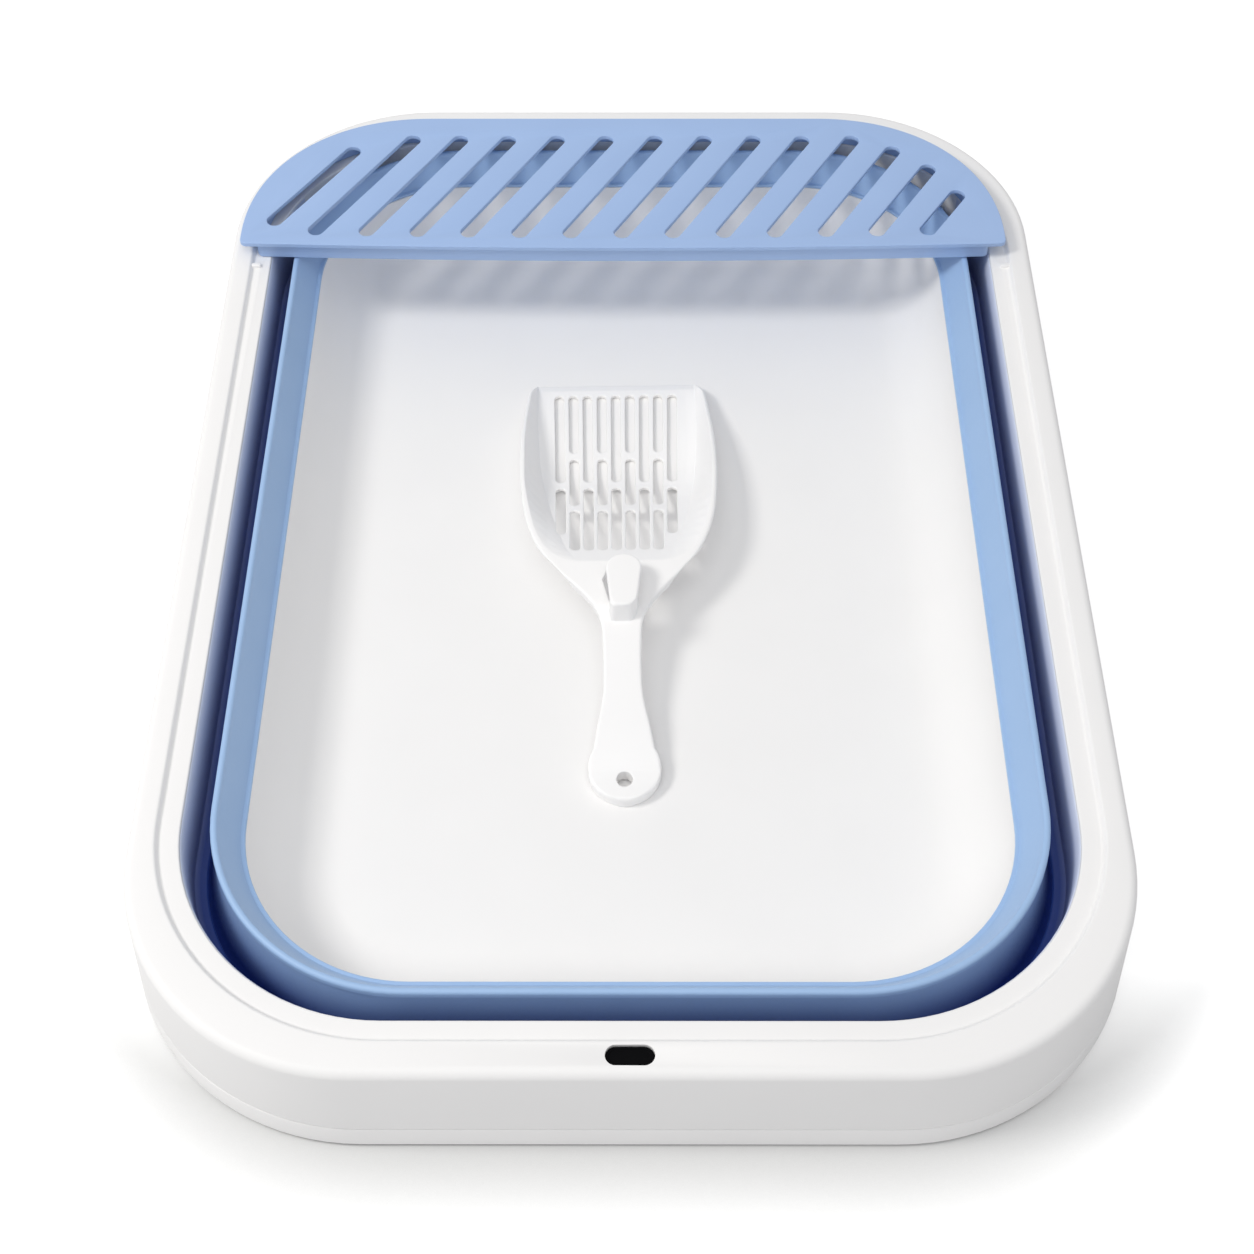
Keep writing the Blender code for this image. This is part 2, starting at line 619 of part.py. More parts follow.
def scoop_outline():
    """Tables along the scoop: half widths outside, at the inner edge and at the floor, and the height."""
    outer_shares = (
        (0.0, 0.860), (0.009, 0.870), (0.02, 0.891), (0.03, 0.911), (0.043, 0.930), (0.068, 0.949),
        (0.096, 0.960), (0.132, 0.975), (0.18, 0.991), (0.24, 1.0), (0.31, 0.994), (0.373, 0.968),
        (0.421, 0.932), (0.467, 0.864), (0.507, 0.767), (0.537, 0.650), (0.569, 0.519),
        (0.596, 0.398), (0.627, 0.278), (0.658, 0.212), (0.684, 0.189), (0.767, 0.179),
        (0.806, 0.190), (0.832, 0.214), (0.868, 0.253), (0.903, 0.285),
    )
    inner_shares = (
        (0.0, 0.842), (0.02, 0.864), (0.043, 0.898), (0.096, 0.924), (0.18, 0.950), (0.31, 0.947),
        (0.352, 0.930), (0.436, 0.856), (0.469, 0.801), (0.495, 0.733), (0.516, 0.629),
        (0.528, 0.496), (0.534, 0.42), (0.569, 0.36), (0.627, 0.20), (0.684, 0.13), (0.767, 0.12),
        (0.868, 0.18), (1.0, 0.20),
    )
    floor_shares = (
        (0.0, 0.830), (0.012, 0.834), (0.124, 0.830), (0.248, 0.788), (0.344, 0.703),
        (0.424, 0.606), (0.501, 0.481), (0.534, 0.38), (0.569, 0.30), (0.627, 0.15),
        (0.684, 0.09), (1.0, 0.12),
    )
    height_shares = (
        (0.0, 0.060), (0.009, 0.124), (0.02, 0.215), (0.03, 0.277), (0.043, 0.335), (0.068, 0.39),
        (0.096, 0.455), (0.132, 0.558), (0.18, 0.68), (0.24, 0.806), (0.31, 0.90), (0.373, 0.96),
        (0.421, 0.988), (0.467, 1.0), (0.627, 1.0), (0.658, 0.976), (0.684, 0.938), (0.741, 0.814),
        (0.806, 0.66), (0.868, 0.52), (0.914, 0.395), (0.954, 0.28), (1.0, 0.256),
    )
    tables = []
    for shares in (outer_shares, inner_shares, floor_shares):
        tables.append([(place * SCOOP_LENGTH, share * SCOOP_HALF_WIDTH) for place, share in shares])
    tables.append([(place * SCOOP_LENGTH, share * COLLAR_HEIGHT) for place, share in height_shares])
    return tables


def blade_floor(along):
    """Height of the blade's floor: bevelled at the tip, flat, then rising to the collar."""
    tip = TIP_SKIN + (BLADE_SKIN - TIP_SKIN) * min(1.0, along / TIP_BEVEL)
    bend = BACK_STRAIGHT - BACK_START
    slope = (COLLAR_HEIGHT - BLADE_SKIN) / (BLADE_LENGTH - BACK_START - bend / 2)
    past = max(0.0, along - BACK_START)
    if past < bend:
        return tip + slope * past * past / (2 * bend)
    return tip + slope * (past - bend / 2)


def scoop_underside(along, top):
    """Height of the middle of the underside below a top at this height."""
    if along < BLADE_LENGTH:
        return max(0.0, top - BLADE_SKIN)
    share = min(max((along - HANDLE_START) / (HANDLE_FULL - HANDLE_START), 0.0), 1.0)
    skin = COLLAR_SKIN + (HANDLE_SKIN - COLLAR_SKIN) * share
    return max(0.0, top - skin)


def scoop_section(along, outer, inner, floor, height):
    """One closed cross-section of the scoop, the same on both sides."""
    top = min(blade_floor(along), height) if along < BLADE_LENGTH else height
    under = scoop_underside(along, top)
    edge = min(SCOOP_EDGE, (outer - inner) * LIP_ROUND_SHARE, (height - under) * RIM_ROUND_SHARE)
    wall = height - top
    bend_share = FILLET_SHARE * FILLET / max(wall, FILLET)
    lean = (inner - floor) * bend_share
    fillet_shares = ((0.12, 0.15), (0.45, 0.5), (1.0, 1.0))
    corner_share = 0.3
    swing = min(max((along - HANDLE_START) / (BLADE_LENGTH - HANDLE_START), 0.0), 1.0)
    low = (outer - edge / 2) * (1 - swing) + (floor + BLADE_SKIN / 2) * swing
    low = min(low, outer - edge / 2)
    side = [(floor / 2, top), (max(floor * FILLET_SHARE, floor - FILLET), top)]
    for out_share, up_share in fillet_shares:
        side.append((floor + lean * out_share, top + wall * bend_share * up_share))
    side += [
        (inner, height),
        (outer - edge, height),
        (outer - edge * corner_share, height - edge * corner_share),
        (outer, height - edge),
        (outer - edge * corner_share, height - edge - (height - under) * corner_share / 2),
        (low, under + edge),
        (low - edge, under),
        (floor / 2, under),
    ]
    right = [Vector((x, -along, z)) for x, z in side]
    left = [Vector((-x, -along, z)) for x, z in side]
    return right + left[::-1]


def scoop_body(surface):
    """Blade, collar, handle and tail lofted from tip to tail."""
    outer, inner, floor, height = scoop_outline()
    places = {place for place, _ in outer if place < TAIL_NOTCH}
    ordered = sorted(places)
    places |= {(low + high) / 2 for low, high in zip(ordered, ordered[1:])}
    places |= {TIP_BEVEL / 2, TIP_BEVEL, BLADE_LENGTH, HANDLE_START, HANDLE_FULL, TAIL_NOTCH}
    rings = []
    for along in sorted(places):
        rings.append(scoop_section(along, *(eased(table, along) for table in (outer, inner, floor, height))))
    center = SCOOP_LENGTH - TAIL_RADIUS
    start = math.asin((TAIL_NOTCH - center) / TAIL_RADIUS)
    for step in range(1, 2 * CAPSULE_STEPS + 1):
        turn = start + (TAIL_END_TURN - start) * step / (2 * CAPSULE_STEPS)
        along = center + TAIL_RADIUS * math.sin(turn)
        half = TAIL_RADIUS * math.cos(turn)
        drop = SCOOP_EDGE * max(0.0, 1 - (SCOOP_LENGTH - along) / SCOOP_EDGE) ** 2
        widths = (half, half * TAIL_INNER_SHARE, half * TAIL_FLOOR_SHARE)
        rings.append(scoop_section(along, *widths, eased(height, along) - drop))
    return skin_rings("litter_scoop", rings, False, surface)


def hook_plan(grow, height):
    """Outline of the hook's arm: a round front, straight sides that close in and a rounded back."""
    radius = HOOK_FRONT_RADIUS + grow
    front = HOOK_FRONT + HOOK_FRONT_RADIUS
    half = HOOK_BACK_HALF + grow
    corner = HOOK_CORNER
    flat = []
    for step in range(2 * CAPSULE_STEPS + 1):
        turn = math.pi * step / (2 * CAPSULE_STEPS)
        flat.append((HOOK_LEAN + radius * math.cos(turn), -front + radius * math.sin(turn)))
    back = HOOK_BACK + grow
    for side, first in ((-1, math.pi), (1, 1.5 * math.pi)):
        for step in range(ROUND_STEPS + 1):
            turn = first + math.pi / 2 * step / ROUND_STEPS
            x = side * (half - corner) + corner * math.cos(turn)
            flat.append((x, corner - back + corner * math.sin(turn)))
    return [Vector((x, y, height)) for x, y in flat]


def post_plan(grow, height):
    """Outline of the post that joins the arm to the collar."""
    half = HOOK_BACK_HALF + grow
    reach = HOOK_POST / 2 + grow
    corner = HOOK_CORNER
    middle = HOOK_POST / 2 - HOOK_BACK
    flat = []
    for quarter, (side, end) in enumerate(((1, 1), (-1, 1), (-1, -1), (1, -1))):
        for step in range(ROUND_STEPS + 1):
            turn = math.pi / 2 * (quarter + step / ROUND_STEPS)
            x = side * (half - corner) + corner * math.cos(turn)
            flat.append((x, middle + end * (reach - corner) + corner * math.sin(turn)))
    return [Vector((x, y, height)) for x, y in flat]


def add_hook(scoop):
    """The arm that hooks the scoop over the rim, on its post, with the opening under it."""
    top = COLLAR_HEIGHT + HOOK_HEIGHT
    shares = ((0.72, 0.0), (1.0, 0.30), (0.62, 1.0), (-0.62, 1.0), (-1.0, 0.30), (-0.72, 0.0))
    length = HOOK_HOLE_BACK - HOOK_HOLE_FRONT
    corners = [(x * HOOK_HOLE_HALF, HOOK_HOLE_FRONT + along * length) for x, along in shares]
    heights = (COLLAR_HEIGHT - 2 * HANDLE_SKIN, COLLAR_HEIGHT + HOOK_HEIGHT / 2)
    hole = [[Vector((x + HOOK_HOLE_SHIFT, -along, z)) for x, along in corners] for z in heights]
    combine(scoop, skin_rings("hook_hole", hole), "DIFFERENCE")
    edge = EDGE_ROUND
    arm = [hook_plan(-edge / 2, top - HOOK_ARM), hook_plan(0, top - HOOK_ARM + edge / 2)]
    arm += [hook_plan(0, top - edge), hook_plan(-edge, top)]
    post = [post_plan(edge, COLLAR_HEIGHT - COLLAR_SKIN), post_plan(0, top - HOOK_ARM / 2)]
    hook = combine(skin_rings("hook_arm", arm), skin_rings("hook_post", post), "UNION")
    combine(scoop, hook, "UNION")


def scoop_slot_ends():
    """The end centres of every slot: nine columns that fan in a little towards the handle."""
    odd_rows = ((0.055, 0.503), (0.536, 0.935))
    even_rows = ((0.055, 0.349), (0.379, 0.644), (0.678, 0.935))
    outer_end = 0.835
    ends = []
    for column in range(-4, 5):
        x = column * SCOOP_SLOT_PITCH + SCOOP_SLOT_SHIFT
        swing = math.tan(column * SCOOP_SLOT_FAN + SCOOP_SLOT_LEAN)
        for start_share, end_share in even_rows if column % 2 else odd_rows:
            if abs(column) == 4:
                end_share = min(end_share, outer_end)
            start = start_share * BLADE_LENGTH + SCOOP_SLOT_WIDTH / 2
            end = end_share * BLADE_LENGTH - SCOOP_SLOT_WIDTH / 2
            ends.append((Vector((x - start * swing, -start)), Vector((x - end * swing, -end))))
    return ends


def litter_scoop(surface):
    """The scoop, one moulding: slotted blade, collar, hanging hook, handle and tail."""
    scoop = scoop_body(surface)
    add_hook(scoop)
    heights = (-COLLAR_HEIGHT, 2 * COLLAR_HEIGHT)
    combine(scoop, slot_cutter(scoop_slot_ends(), SCOOP_SLOT_WIDTH, heights), "DIFFERENCE")
    hole = [circle_ring((0, -TAIL_HOLE_PLACE), TAIL_HOLE_RADIUS, height) for height in heights]
    combine(scoop, skin_rings("tail_hole", hole), "DIFFERENCE")
    scoop.location = (SCOOP_TIP_X, SCOOP_TIP_Y, FLOOR_TOP + FIT_GAP)
    scoop.rotation_euler.z = SCOOP_TURN
    return finish(scoop, 35)


def build():
    clear_scene()
    white = material("white_plastic", (0.86, 0.86, 0.85), 0.45)
    blue_rubber = material("blue_elastomer", (0.28, 0.47, 0.76), 0.40)
    blue_plastic = material("blue_plastic", (0.36, 0.53, 0.80), 0.38)
    black = material("black_plastic", (0.004, 0.004, 0.006), 0.5)
    grey_rubber = material("foot_rubber", (0.55, 0.56, 0.58), 0.8)
    base_tray(white)
    for x_name, x in (("left", -PAD_X), ("right", PAD_X)):
        for y_name, y in (("front", -PAD_Y), ("back", PAD_Y)):
            foot_pad(f"foot_pad_{y_name}_{x_name}", x, y, grey_rubber)
    band_ridge(blue_rubber)
    band_web(blue_rubber)
    band_hem(blue_rubber)
    rim_frame(white)
    slot_insert(black)
    sifting_grate(blue_plastic)
    litter_scoop(white)


build()
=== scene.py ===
# %% [markdown]
# # A folding litter box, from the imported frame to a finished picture
#
# The real box is a shallow tray, a rim frame and a soft blue band between them. The band folds down
# into a gutter when the rim is pushed down, and stands up as a wall when the rim is pulled up.
# A slotted grate lies across the back of the rim, and a scoop lies in the pan.
# This lesson loads the plain solids, which give every place and size, and builds each piece again
# with ordinary Blender tools, finer than the solids and with its own plastic.

# %% Load the frame
import math
import bmesh
import bpy
from mathutils import Matrix, Vector


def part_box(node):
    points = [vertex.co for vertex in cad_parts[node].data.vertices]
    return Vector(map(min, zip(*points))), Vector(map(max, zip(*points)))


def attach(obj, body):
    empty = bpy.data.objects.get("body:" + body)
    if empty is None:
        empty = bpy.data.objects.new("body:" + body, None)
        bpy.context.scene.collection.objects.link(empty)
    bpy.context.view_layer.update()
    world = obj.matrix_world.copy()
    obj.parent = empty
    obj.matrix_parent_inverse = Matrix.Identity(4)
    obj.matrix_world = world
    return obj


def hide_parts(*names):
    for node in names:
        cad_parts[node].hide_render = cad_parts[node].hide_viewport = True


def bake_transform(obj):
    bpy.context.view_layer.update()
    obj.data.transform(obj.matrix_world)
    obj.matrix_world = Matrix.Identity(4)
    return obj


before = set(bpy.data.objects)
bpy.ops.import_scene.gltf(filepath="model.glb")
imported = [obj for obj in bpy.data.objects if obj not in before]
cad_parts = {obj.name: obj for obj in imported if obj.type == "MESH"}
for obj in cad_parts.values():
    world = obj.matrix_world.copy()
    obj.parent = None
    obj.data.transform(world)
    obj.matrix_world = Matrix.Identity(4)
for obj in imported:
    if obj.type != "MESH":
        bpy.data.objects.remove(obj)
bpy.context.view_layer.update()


def in_mm(sides):
    """Lengths in metres as millimetres to a tenth, for what the cells print."""
    return [round(side * 1000, 1) for side in sides]


# %% [markdown]
# ## Sizes that several pieces share
#
# Most pieces of the box are rings around the same rounded rectangle. If every ring is drawn from
# the same few sizes, the gaps between the pieces come out even all the way round.
# An inset is a distance inward from the outline of the rim's top, and all lengths are metres.
# The corners of the inner rings are wider than those of the outline by an ease. At the two ends
# of the box the inner rings also lie a little further in, or out where the value is negative.
# A hair is a length too small to see, for merging points and for telling two places apart.
# A name that ends in MM holds millimetres.

# %% Shared sizes
MM = 0.001
HAIR = 0.01 * MM
TOP_WIDTH = 400 * MM
TOP_LENGTH = 553 * MM
CORNER = 96.2 * MM
RIM_EASE = 10.2 * MM
PAN_EASE = 17.8 * MM
CORNER_STEPS = 24
RIM_TOP = 55 * MM
LEDGE_TOP = 52.5 * MM
SEAM = 13.3 * MM
SEAM_GAP = 0.4 * MM
WALL = 2.5 * MM
FLOOR_TOP = 4.5 * MM
EDGE_RADIUS = 4 * MM
SHOULDER = RIM_TOP - EDGE_RADIUS
LIP = 0.8 * MM
DRAFT = 4 * MM
RIM_ENDS = 4 * MM
PAN_FRONT = 4.3 * MM
PAN_BACK = -1.9 * MM
SOFT_EDGE_MM = 0.25
MOULD_EDGE_MM = 0.35


def flare(height):
    """How far the outer wall leans out at this height: the mould needs some draft."""
    return DRAFT * max(0.0, SHOULDER - height) / SHOULDER


print("outer wall leans out by", round(flare(0) / MM, 1), "mm at the ground")

# %% [markdown]
# ## The camera
#
# The picture was taken from in front and well above, with a normal lens. The place of the camera
# was worked out beforehand from points that lie on known corners of the box. It could be aimed
# with a Track To constraint, but a matrix built from the three directions of view is exact and
# keeps the small roll of the real picture.

# %% Camera
CAMERA_PLACE = Vector((0.3 * MM, -578.4 * MM, 729.4 * MM))
PITCH = math.radians(53.0)
YAW = math.radians(-0.193)
ROLL = math.radians(-0.128)
LENS = 56.53
SENSOR = 36

ahead = Vector(
    (math.sin(YAW) * math.cos(PITCH), math.cos(YAW) * math.cos(PITCH), -math.sin(PITCH))
)
right = Vector((math.cos(YAW), -math.sin(YAW), 0))
up = right.cross(ahead)
right, up = (
    math.cos(ROLL) * right + math.sin(ROLL) * up,
    math.cos(ROLL) * up - math.sin(ROLL) * right,
)
camera_data = bpy.data.cameras.new("camera")
camera_data.lens = LENS
camera_data.sensor_width = SENSOR
camera = bpy.data.objects.new("camera", camera_data)
bpy.context.scene.collection.objects.link(camera)
facing = Matrix((right, up, -ahead)).transposed().to_4x4()
camera.matrix_world = Matrix.Translation(CAMERA_PLACE) @ facing
bpy.context.scene.camera = camera
print("camera looks down", round(math.degrees(PITCH), 1), "degrees, lens", LENS, "mm")

# %% [markdown]
# ## Small tools for materials
#
# A material is a little network of nodes. One function turns a screen colour into the linear
# values that shaders mix, and one adds a node with its settings and links, so that each material
# below reads like a recipe.

# %% Tools for materials
def linear(code):
    """A screen colour such as A0B4D8 as the linear red, green, blue and alpha of a shader."""
    parts = [int(code[at : at + 2], 16) / 255 for at in (0, 2, 4)]
    return [p / 12.92 if p <= 0.04045 else ((p + 0.055) / 1.055) ** 2.4 for p in parts] + [1.0]


def add_node(tree, kind, inputs=(), **settings):
    """Adds a node, sets its choices, and fills each input with a value or a link."""
    node = tree.nodes.new(kind)
    for name, value in settings.items():
        setattr(node, name, value)
    for name, value in dict(inputs).items():
        if isinstance(value, bpy.types.NodeSocket):
            tree.links.new(value, node.inputs[name])
        else:
            node.inputs[name].default_value = value
    return node


def per_metre(size_mm):
    """The Scale that makes a noise pattern repeat about every size_mm millimetres."""
    return 1000 / size_mm


print("a 2 mm grain has a noise scale of", per_metre(2))

# %% [markdown]
# ## The floor, the light and the backdrop
#
# The box stands on a plain white sheet under soft studio light. A key lamp hangs high on the left,
# so that the shadows fall to the right, a wide soft box hangs overhead, and an even sky fills.
# The white of the background isn't made with more light, which would bleach the box: only rays
# that come straight from the camera see the floor a little brighter and the sky at full white.
# A floor that glows all over would lose the soft shadow of the front wall. So the glow fades where
# an ambient occlusion node finds the box close by, but only in front of it: beside the box the
# photographed floor is plain white.

# %% Studio
scene = bpy.context.scene
scene.view_settings.view_transform = "Standard"
SKY_STRENGTH = 0.55
FLOOR_SIZE = 8
FLOOR_GLOW = 0.68
SHADE_REACH = 45 * MM
SHADE_POWER = 2.4
SHADE_FULL = -278 * MM
SHADE_GONE = -205 * MM


def studio_sky(strength):
    """An even sky, hardly tinted, that the camera, glass and gloss see as plain white."""
    world = bpy.data.worlds.new("studio_sky")
    world.use_nodes = True
    tree = world.node_tree
    tree.nodes.clear()
    path = add_node(tree, "ShaderNodeLightPath")
    seen = path.outputs["Is Camera Ray"]
    for kind in ("Is Glossy Ray", "Is Transmission Ray"):
        seen = add_node(
            tree, "ShaderNodeMath", {0: seen, 1: path.outputs[kind]}, operation="MAXIMUM"
        ).outputs[0]
    fill = add_node(tree, "ShaderNodeBackground", {"Color": linear("F8F9FC"), "Strength": strength})
    white = add_node(tree, "ShaderNodeBackground", {"Color": linear("FFFFFF"), "Strength": 1.0})
    mixed = add_node(
        tree, "ShaderNodeMixShader", {0: seen, 1: fill.outputs[0], 2: white.outputs[0]}
    )
    add_node(tree, "ShaderNodeOutputWorld", {"Surface": mixed.outputs[0]})
    return world


def floor_sheet(lift):
    """Matt white paper that glows a little for the camera, less so close in front of the box."""
    made = bpy.data.materials.new("floor_paper")
    made.use_nodes = True
    tree = made.node_tree
    tree.nodes.clear()
    path = add_node(tree, "ShaderNodeLightPath")
    paper = add_node(tree, "ShaderNodeBsdfDiffuse", {"Color": linear("E6E6E6")})
    shaded = add_node(tree, "ShaderNodeBsdfDiffuse", {"Color": linear("BEBEBD")})
    near = add_node(
        tree, "ShaderNodeAmbientOcclusion", {"Distance": SHADE_REACH}, samples=16
    )
    faded = add_node(
        tree, "ShaderNodeMath", {0: near.outputs["AO"], 1: SHADE_POWER}, operation="POWER"
    )
    place = add_node(tree, "ShaderNodeTexCoord").outputs["Object"]
    sides = add_node(tree, "ShaderNodeSeparateXYZ", {0: place})
    beside = add_node(
        tree, "ShaderNodeMapRange",
        {"Value": sides.outputs["Y"], "From Min": SHADE_FULL, "From Max": SHADE_GONE},
    )
    kept = add_node(
        tree, "ShaderNodeMath", {0: faded.outputs[0], 1: beside.outputs["Result"]},
        operation="MAXIMUM",
    )
    strength = add_node(
        tree, "ShaderNodeMath", {0: kept.outputs[0], 1: lift}, operation="MULTIPLY"
    )
    glow = add_node(
        tree, "ShaderNodeEmission", {"Color": linear("FFFFFF"), "Strength": strength.outputs[0]}
    )
    both = add_node(tree, "ShaderNodeAddShader", {0: shaded.outputs[0], 1: glow.outputs[0]})
    mixed = add_node(
        tree, "ShaderNodeMixShader",
        {0: path.outputs["Is Camera Ray"], 1: paper.outputs[0], 2: both.outputs[0]},
    )
    add_node(tree, "ShaderNodeOutputMaterial", {"Surface": mixed.outputs[0]})
    return made


def soft_lamp(name, place, size, watts, color):
    """A square lamp at place that looks at the middle of the box."""
    data = bpy.data.lights.new(name, "AREA")
    data.size = size
    data.energy = watts
    data.color = linear(color)[:3]
    lamp = bpy.data.objects.new(name, data)
    scene.collection.objects.link(lamp)
    lamp.location = place
    lamp.rotation_euler = (-Vector(place)).to_track_quat("-Z", "Y").to_euler()


scene.world = studio_sky(SKY_STRENGTH)
bpy.ops.object.select_all(action="DESELECT")
bpy.ops.mesh.primitive_plane_add(size=FLOOR_SIZE)
floor = bpy.context.object
floor.name = "floor"
floor.data.materials.append(floor_sheet(FLOOR_GLOW))
soft_lamp("key_lamp", place=(-1.1, -0.25, 1.35), size=0.4, watts=11.6, color="FFFDF9")
soft_lamp("soft_box", place=(-0.1, -0.8, 2.1), size=1.5, watts=10.4, color="FFFFFF")
print("two lamps, and a sky of strength", SKY_STRENGTH)

# %% [markdown]
# ## The plastics
#
# The tray, rim and scoop are injection-moulded polypropylene. Its skin is satin, with a fine
# spark-eroded grain from the mould and slow, wide waves where the plastic shrank as it cooled.
# The grate is the same plastic in blue. The band is a soft thermoplastic elastomer, duller and
# a little uneven. All of it could be one colour with one roughness, but light on real plastic
# breaks up at these two scales, so each material mixes a fine noise and a wide noise.
# Where the band lies low in the gutter its blue is darkened by height, as painted shade.

# %% Moulded plastics
POLYMER_IOR = 1.49


def moulded(
    name, color, shade, roughness, spread, grain_mm, grain_depth_mm, wave_mm, wave_depth_mm,
    painted_shade=None, shine=0.5,
):
    """Moulded plastic: colour drifts to shade, roughness varies by spread, with grain and waves.

    Given a darker colour, the attribute named depth leads to it: painted shade low in a fold.
    """
    made = bpy.data.materials.new(name)
    made.use_nodes = True
    tree = made.node_tree
    tree.nodes.clear()
    place = add_node(tree, "ShaderNodeTexCoord").outputs["Object"]
    grain = add_node(
        tree, "ShaderNodeTexNoise", {"Vector": place, "Scale": per_metre(grain_mm), "Detail": 2.0}
    )
    wave = add_node(
        tree, "ShaderNodeTexNoise", {"Vector": place, "Scale": per_metre(wave_mm), "Detail": 1.0}
    )
    tint = add_node(
        tree, "ShaderNodeMixRGB",
        {"Fac": wave.outputs["Fac"], "Color1": linear(color), "Color2": linear(shade)},
    )
    gloss = add_node(
        tree, "ShaderNodeMapRange",
        {"Value": grain.outputs["Fac"], "From Min": 0.3, "From Max": 0.7,
         "To Min": roughness - spread, "To Max": roughness + spread},
    )
    waves = add_node(
        tree, "ShaderNodeBump",
        {"Strength": 1.0, "Distance": wave_depth_mm * MM, "Height": wave.outputs["Fac"]},
    )
    relief = add_node(
        tree, "ShaderNodeBump",
        {"Strength": 1.0, "Distance": grain_depth_mm * MM, "Height": grain.outputs["Fac"],
         "Normal": waves.outputs["Normal"]},
    )
    # painted shade: the depth attribute leads the colour to a darker one low in the gutter
    if painted_shade:
        depth = add_node(tree, "ShaderNodeAttribute", attribute_name="depth")
        tint = add_node(
            tree, "ShaderNodeMixRGB",
            {"Fac": depth.outputs["Fac"], "Color1": tint.outputs[0], "Color2": linear(painted_shade)},
        )
    shader = add_node(
        tree, "ShaderNodeBsdfPrincipled",
        {"Base Color": tint.outputs[0], "Roughness": gloss.outputs[0], "Normal": relief.outputs[0],
         "IOR": POLYMER_IOR, "Specular IOR Level": shine},
    )
    add_node(tree, "ShaderNodeOutputMaterial", {"Surface": shader.outputs[0]})
    return made


# white polypropylene, injection moulded in a lightly spark-eroded mould
white_plastic = moulded("white_plastic", "F4F3F2", "F1F0EF", 0.55, 0.05, 0.9, 0.006, 38, 0.05)
# the same plastic on the scoop, with a smoother skin, polished for the hand, and a little whiter as
# painted light
smooth_painted_light_plastic = moulded("smooth_painted_light_plastic", "F9F8F7", "F7F6F5", 0.38, 0.04, 0.9, 0.004, 38, 0.03)
# blue polypropylene of the grate, from the same kind of mould
blue_plastic = moulded("blue_plastic", "A2BDE6", "9DB8E2", 0.40, 0.05, 0.9, 0.006, 30, 0.05)
# blue thermoplastic elastomer of the folding band: soft, matt, slightly uneven; navy low down, as
# painted shade
blue_elastomer = moulded(
    "blue_elastomer", "A1BFE4", "9BBAE0", 0.50, 0.06, 1.6, 0.010, 22, 0.10, painted_shade="142C74"
)
# the hem's elastomer: pale blue, a painted reflection on the rim's white wall; painted shade low
# down
painted_bounce_elastomer = moulded(
    "painted_bounce_elastomer", "E4EAFA", "DFE6F8", 0.45, 0.06, 1.6, 0.010, 22, 0.10, painted_shade="2A4796"
)
# black plastic of the insert in the hanging slot
black_plastic = moulded(
    "black_plastic", "060607", "08080A", 0.60, 0.05, 0.8, 0.006, 12, 0.02, shine=0.04
)
# grey rubber of the feet, pressed rather than injected, so its skin is coarser
foot_rubber = moulded("foot_rubber", "BFC1C4", "B4B6BA", 0.75, 0.08, 1.2, 0.030, 8, 0.05)
plastics = (white_plastic, smooth_painted_light_plastic, blue_plastic, blue_elastomer, painted_bounce_elastomer)
print(len(plastics), "light plastics, one black one and one rubber")

# %% [markdown]
# ## Small tools for modelling
#
# A ring around the box could be a curve with a bevel object, but then its corners would change
# shape with the path. Here each ring is made as a carpenter makes a picture frame: its
# cross-section is drawn once, pulled along the straight sides, and spun round the four corners.
# So a corner is as true as a turned one, and the section may have any shape.

# %% Tools for modelling
def choose(piece):
    """Makes the piece the only selected one, and the active one."""
    bpy.ops.object.select_all(action="DESELECT")
    piece.select_set(True)
    bpy.context.view_layer.objects.active = piece


def begin(name):
    """A single vertex at the origin, in edit mode: the start of a drawn section."""
    bpy.ops.object.select_all(action="DESELECT")
    bpy.ops.mesh.primitive_plane_add(size=MM)
    piece = bpy.context.object
    piece.name = piece.data.name = name
    bpy.ops.object.mode_set(mode="EDIT")
    bpy.ops.mesh.select_mode(type="VERT")
    bpy.ops.mesh.select_all(action="SELECT")
    bpy.ops.mesh.merge(type="CENTER")
    return piece


def arc(inset, height, radius, start, end, steps):
    """Points of an arc in a section. 180 degrees points outward, 90 up."""
    turns = [math.radians(start + (end - start) * step / steps) for step in range(steps + 1)]
    return [(inset + radius * math.cos(turn), height + radius * math.sin(turn)) for turn in turns]


def draw_section(points, closed=True):
    """Extrudes the vertex from point to point. A point is an inset and a height."""
    places = [Vector((TOP_WIDTH / 2 - inset, 0, height)) for inset, height in points]
    if closed:
        places.append(places[0])
    bpy.ops.transform.translate(value=places[0])
    for here, there in zip(places, places[1:]):
        bpy.ops.mesh.extrude_vertices_move(TRANSFORM_OT_translate={"value": there - here})
    bpy.ops.mesh.select_all(action="SELECT")
    bpy.ops.mesh.remove_doubles(threshold=0.001 * MM)


def sweep_round(front=0.0, back=0.0, ease=0.0):
    """Pulls the section along the four sides and spins it round the four corners."""
    across = TOP_WIDTH / 2 - CORNER - ease
    near = CORNER + ease + front - TOP_LENGTH / 2
    far = TOP_LENGTH / 2 - CORNER - ease - back
    runs = ((0, far - near, 0), (-2 * across, 0, 0), (0, near - far, 0), (2 * across, 0, 0))
    corners = ((across, far, 0), (-across, far, 0), (-across, near, 0), (across, near, 0))
    bpy.ops.transform.translate(value=(0, near, 0))
    for run, corner in zip(runs, corners):
        bpy.ops.mesh.extrude_region_move(TRANSFORM_OT_translate={"value": run})
        bpy.ops.mesh.spin(steps=CORNER_STEPS, angle=-math.pi / 2, center=corner, axis=(0, 0, 1))
    bpy.ops.mesh.select_all(action="SELECT")
    bpy.ops.mesh.remove_doubles(threshold=HAIR)


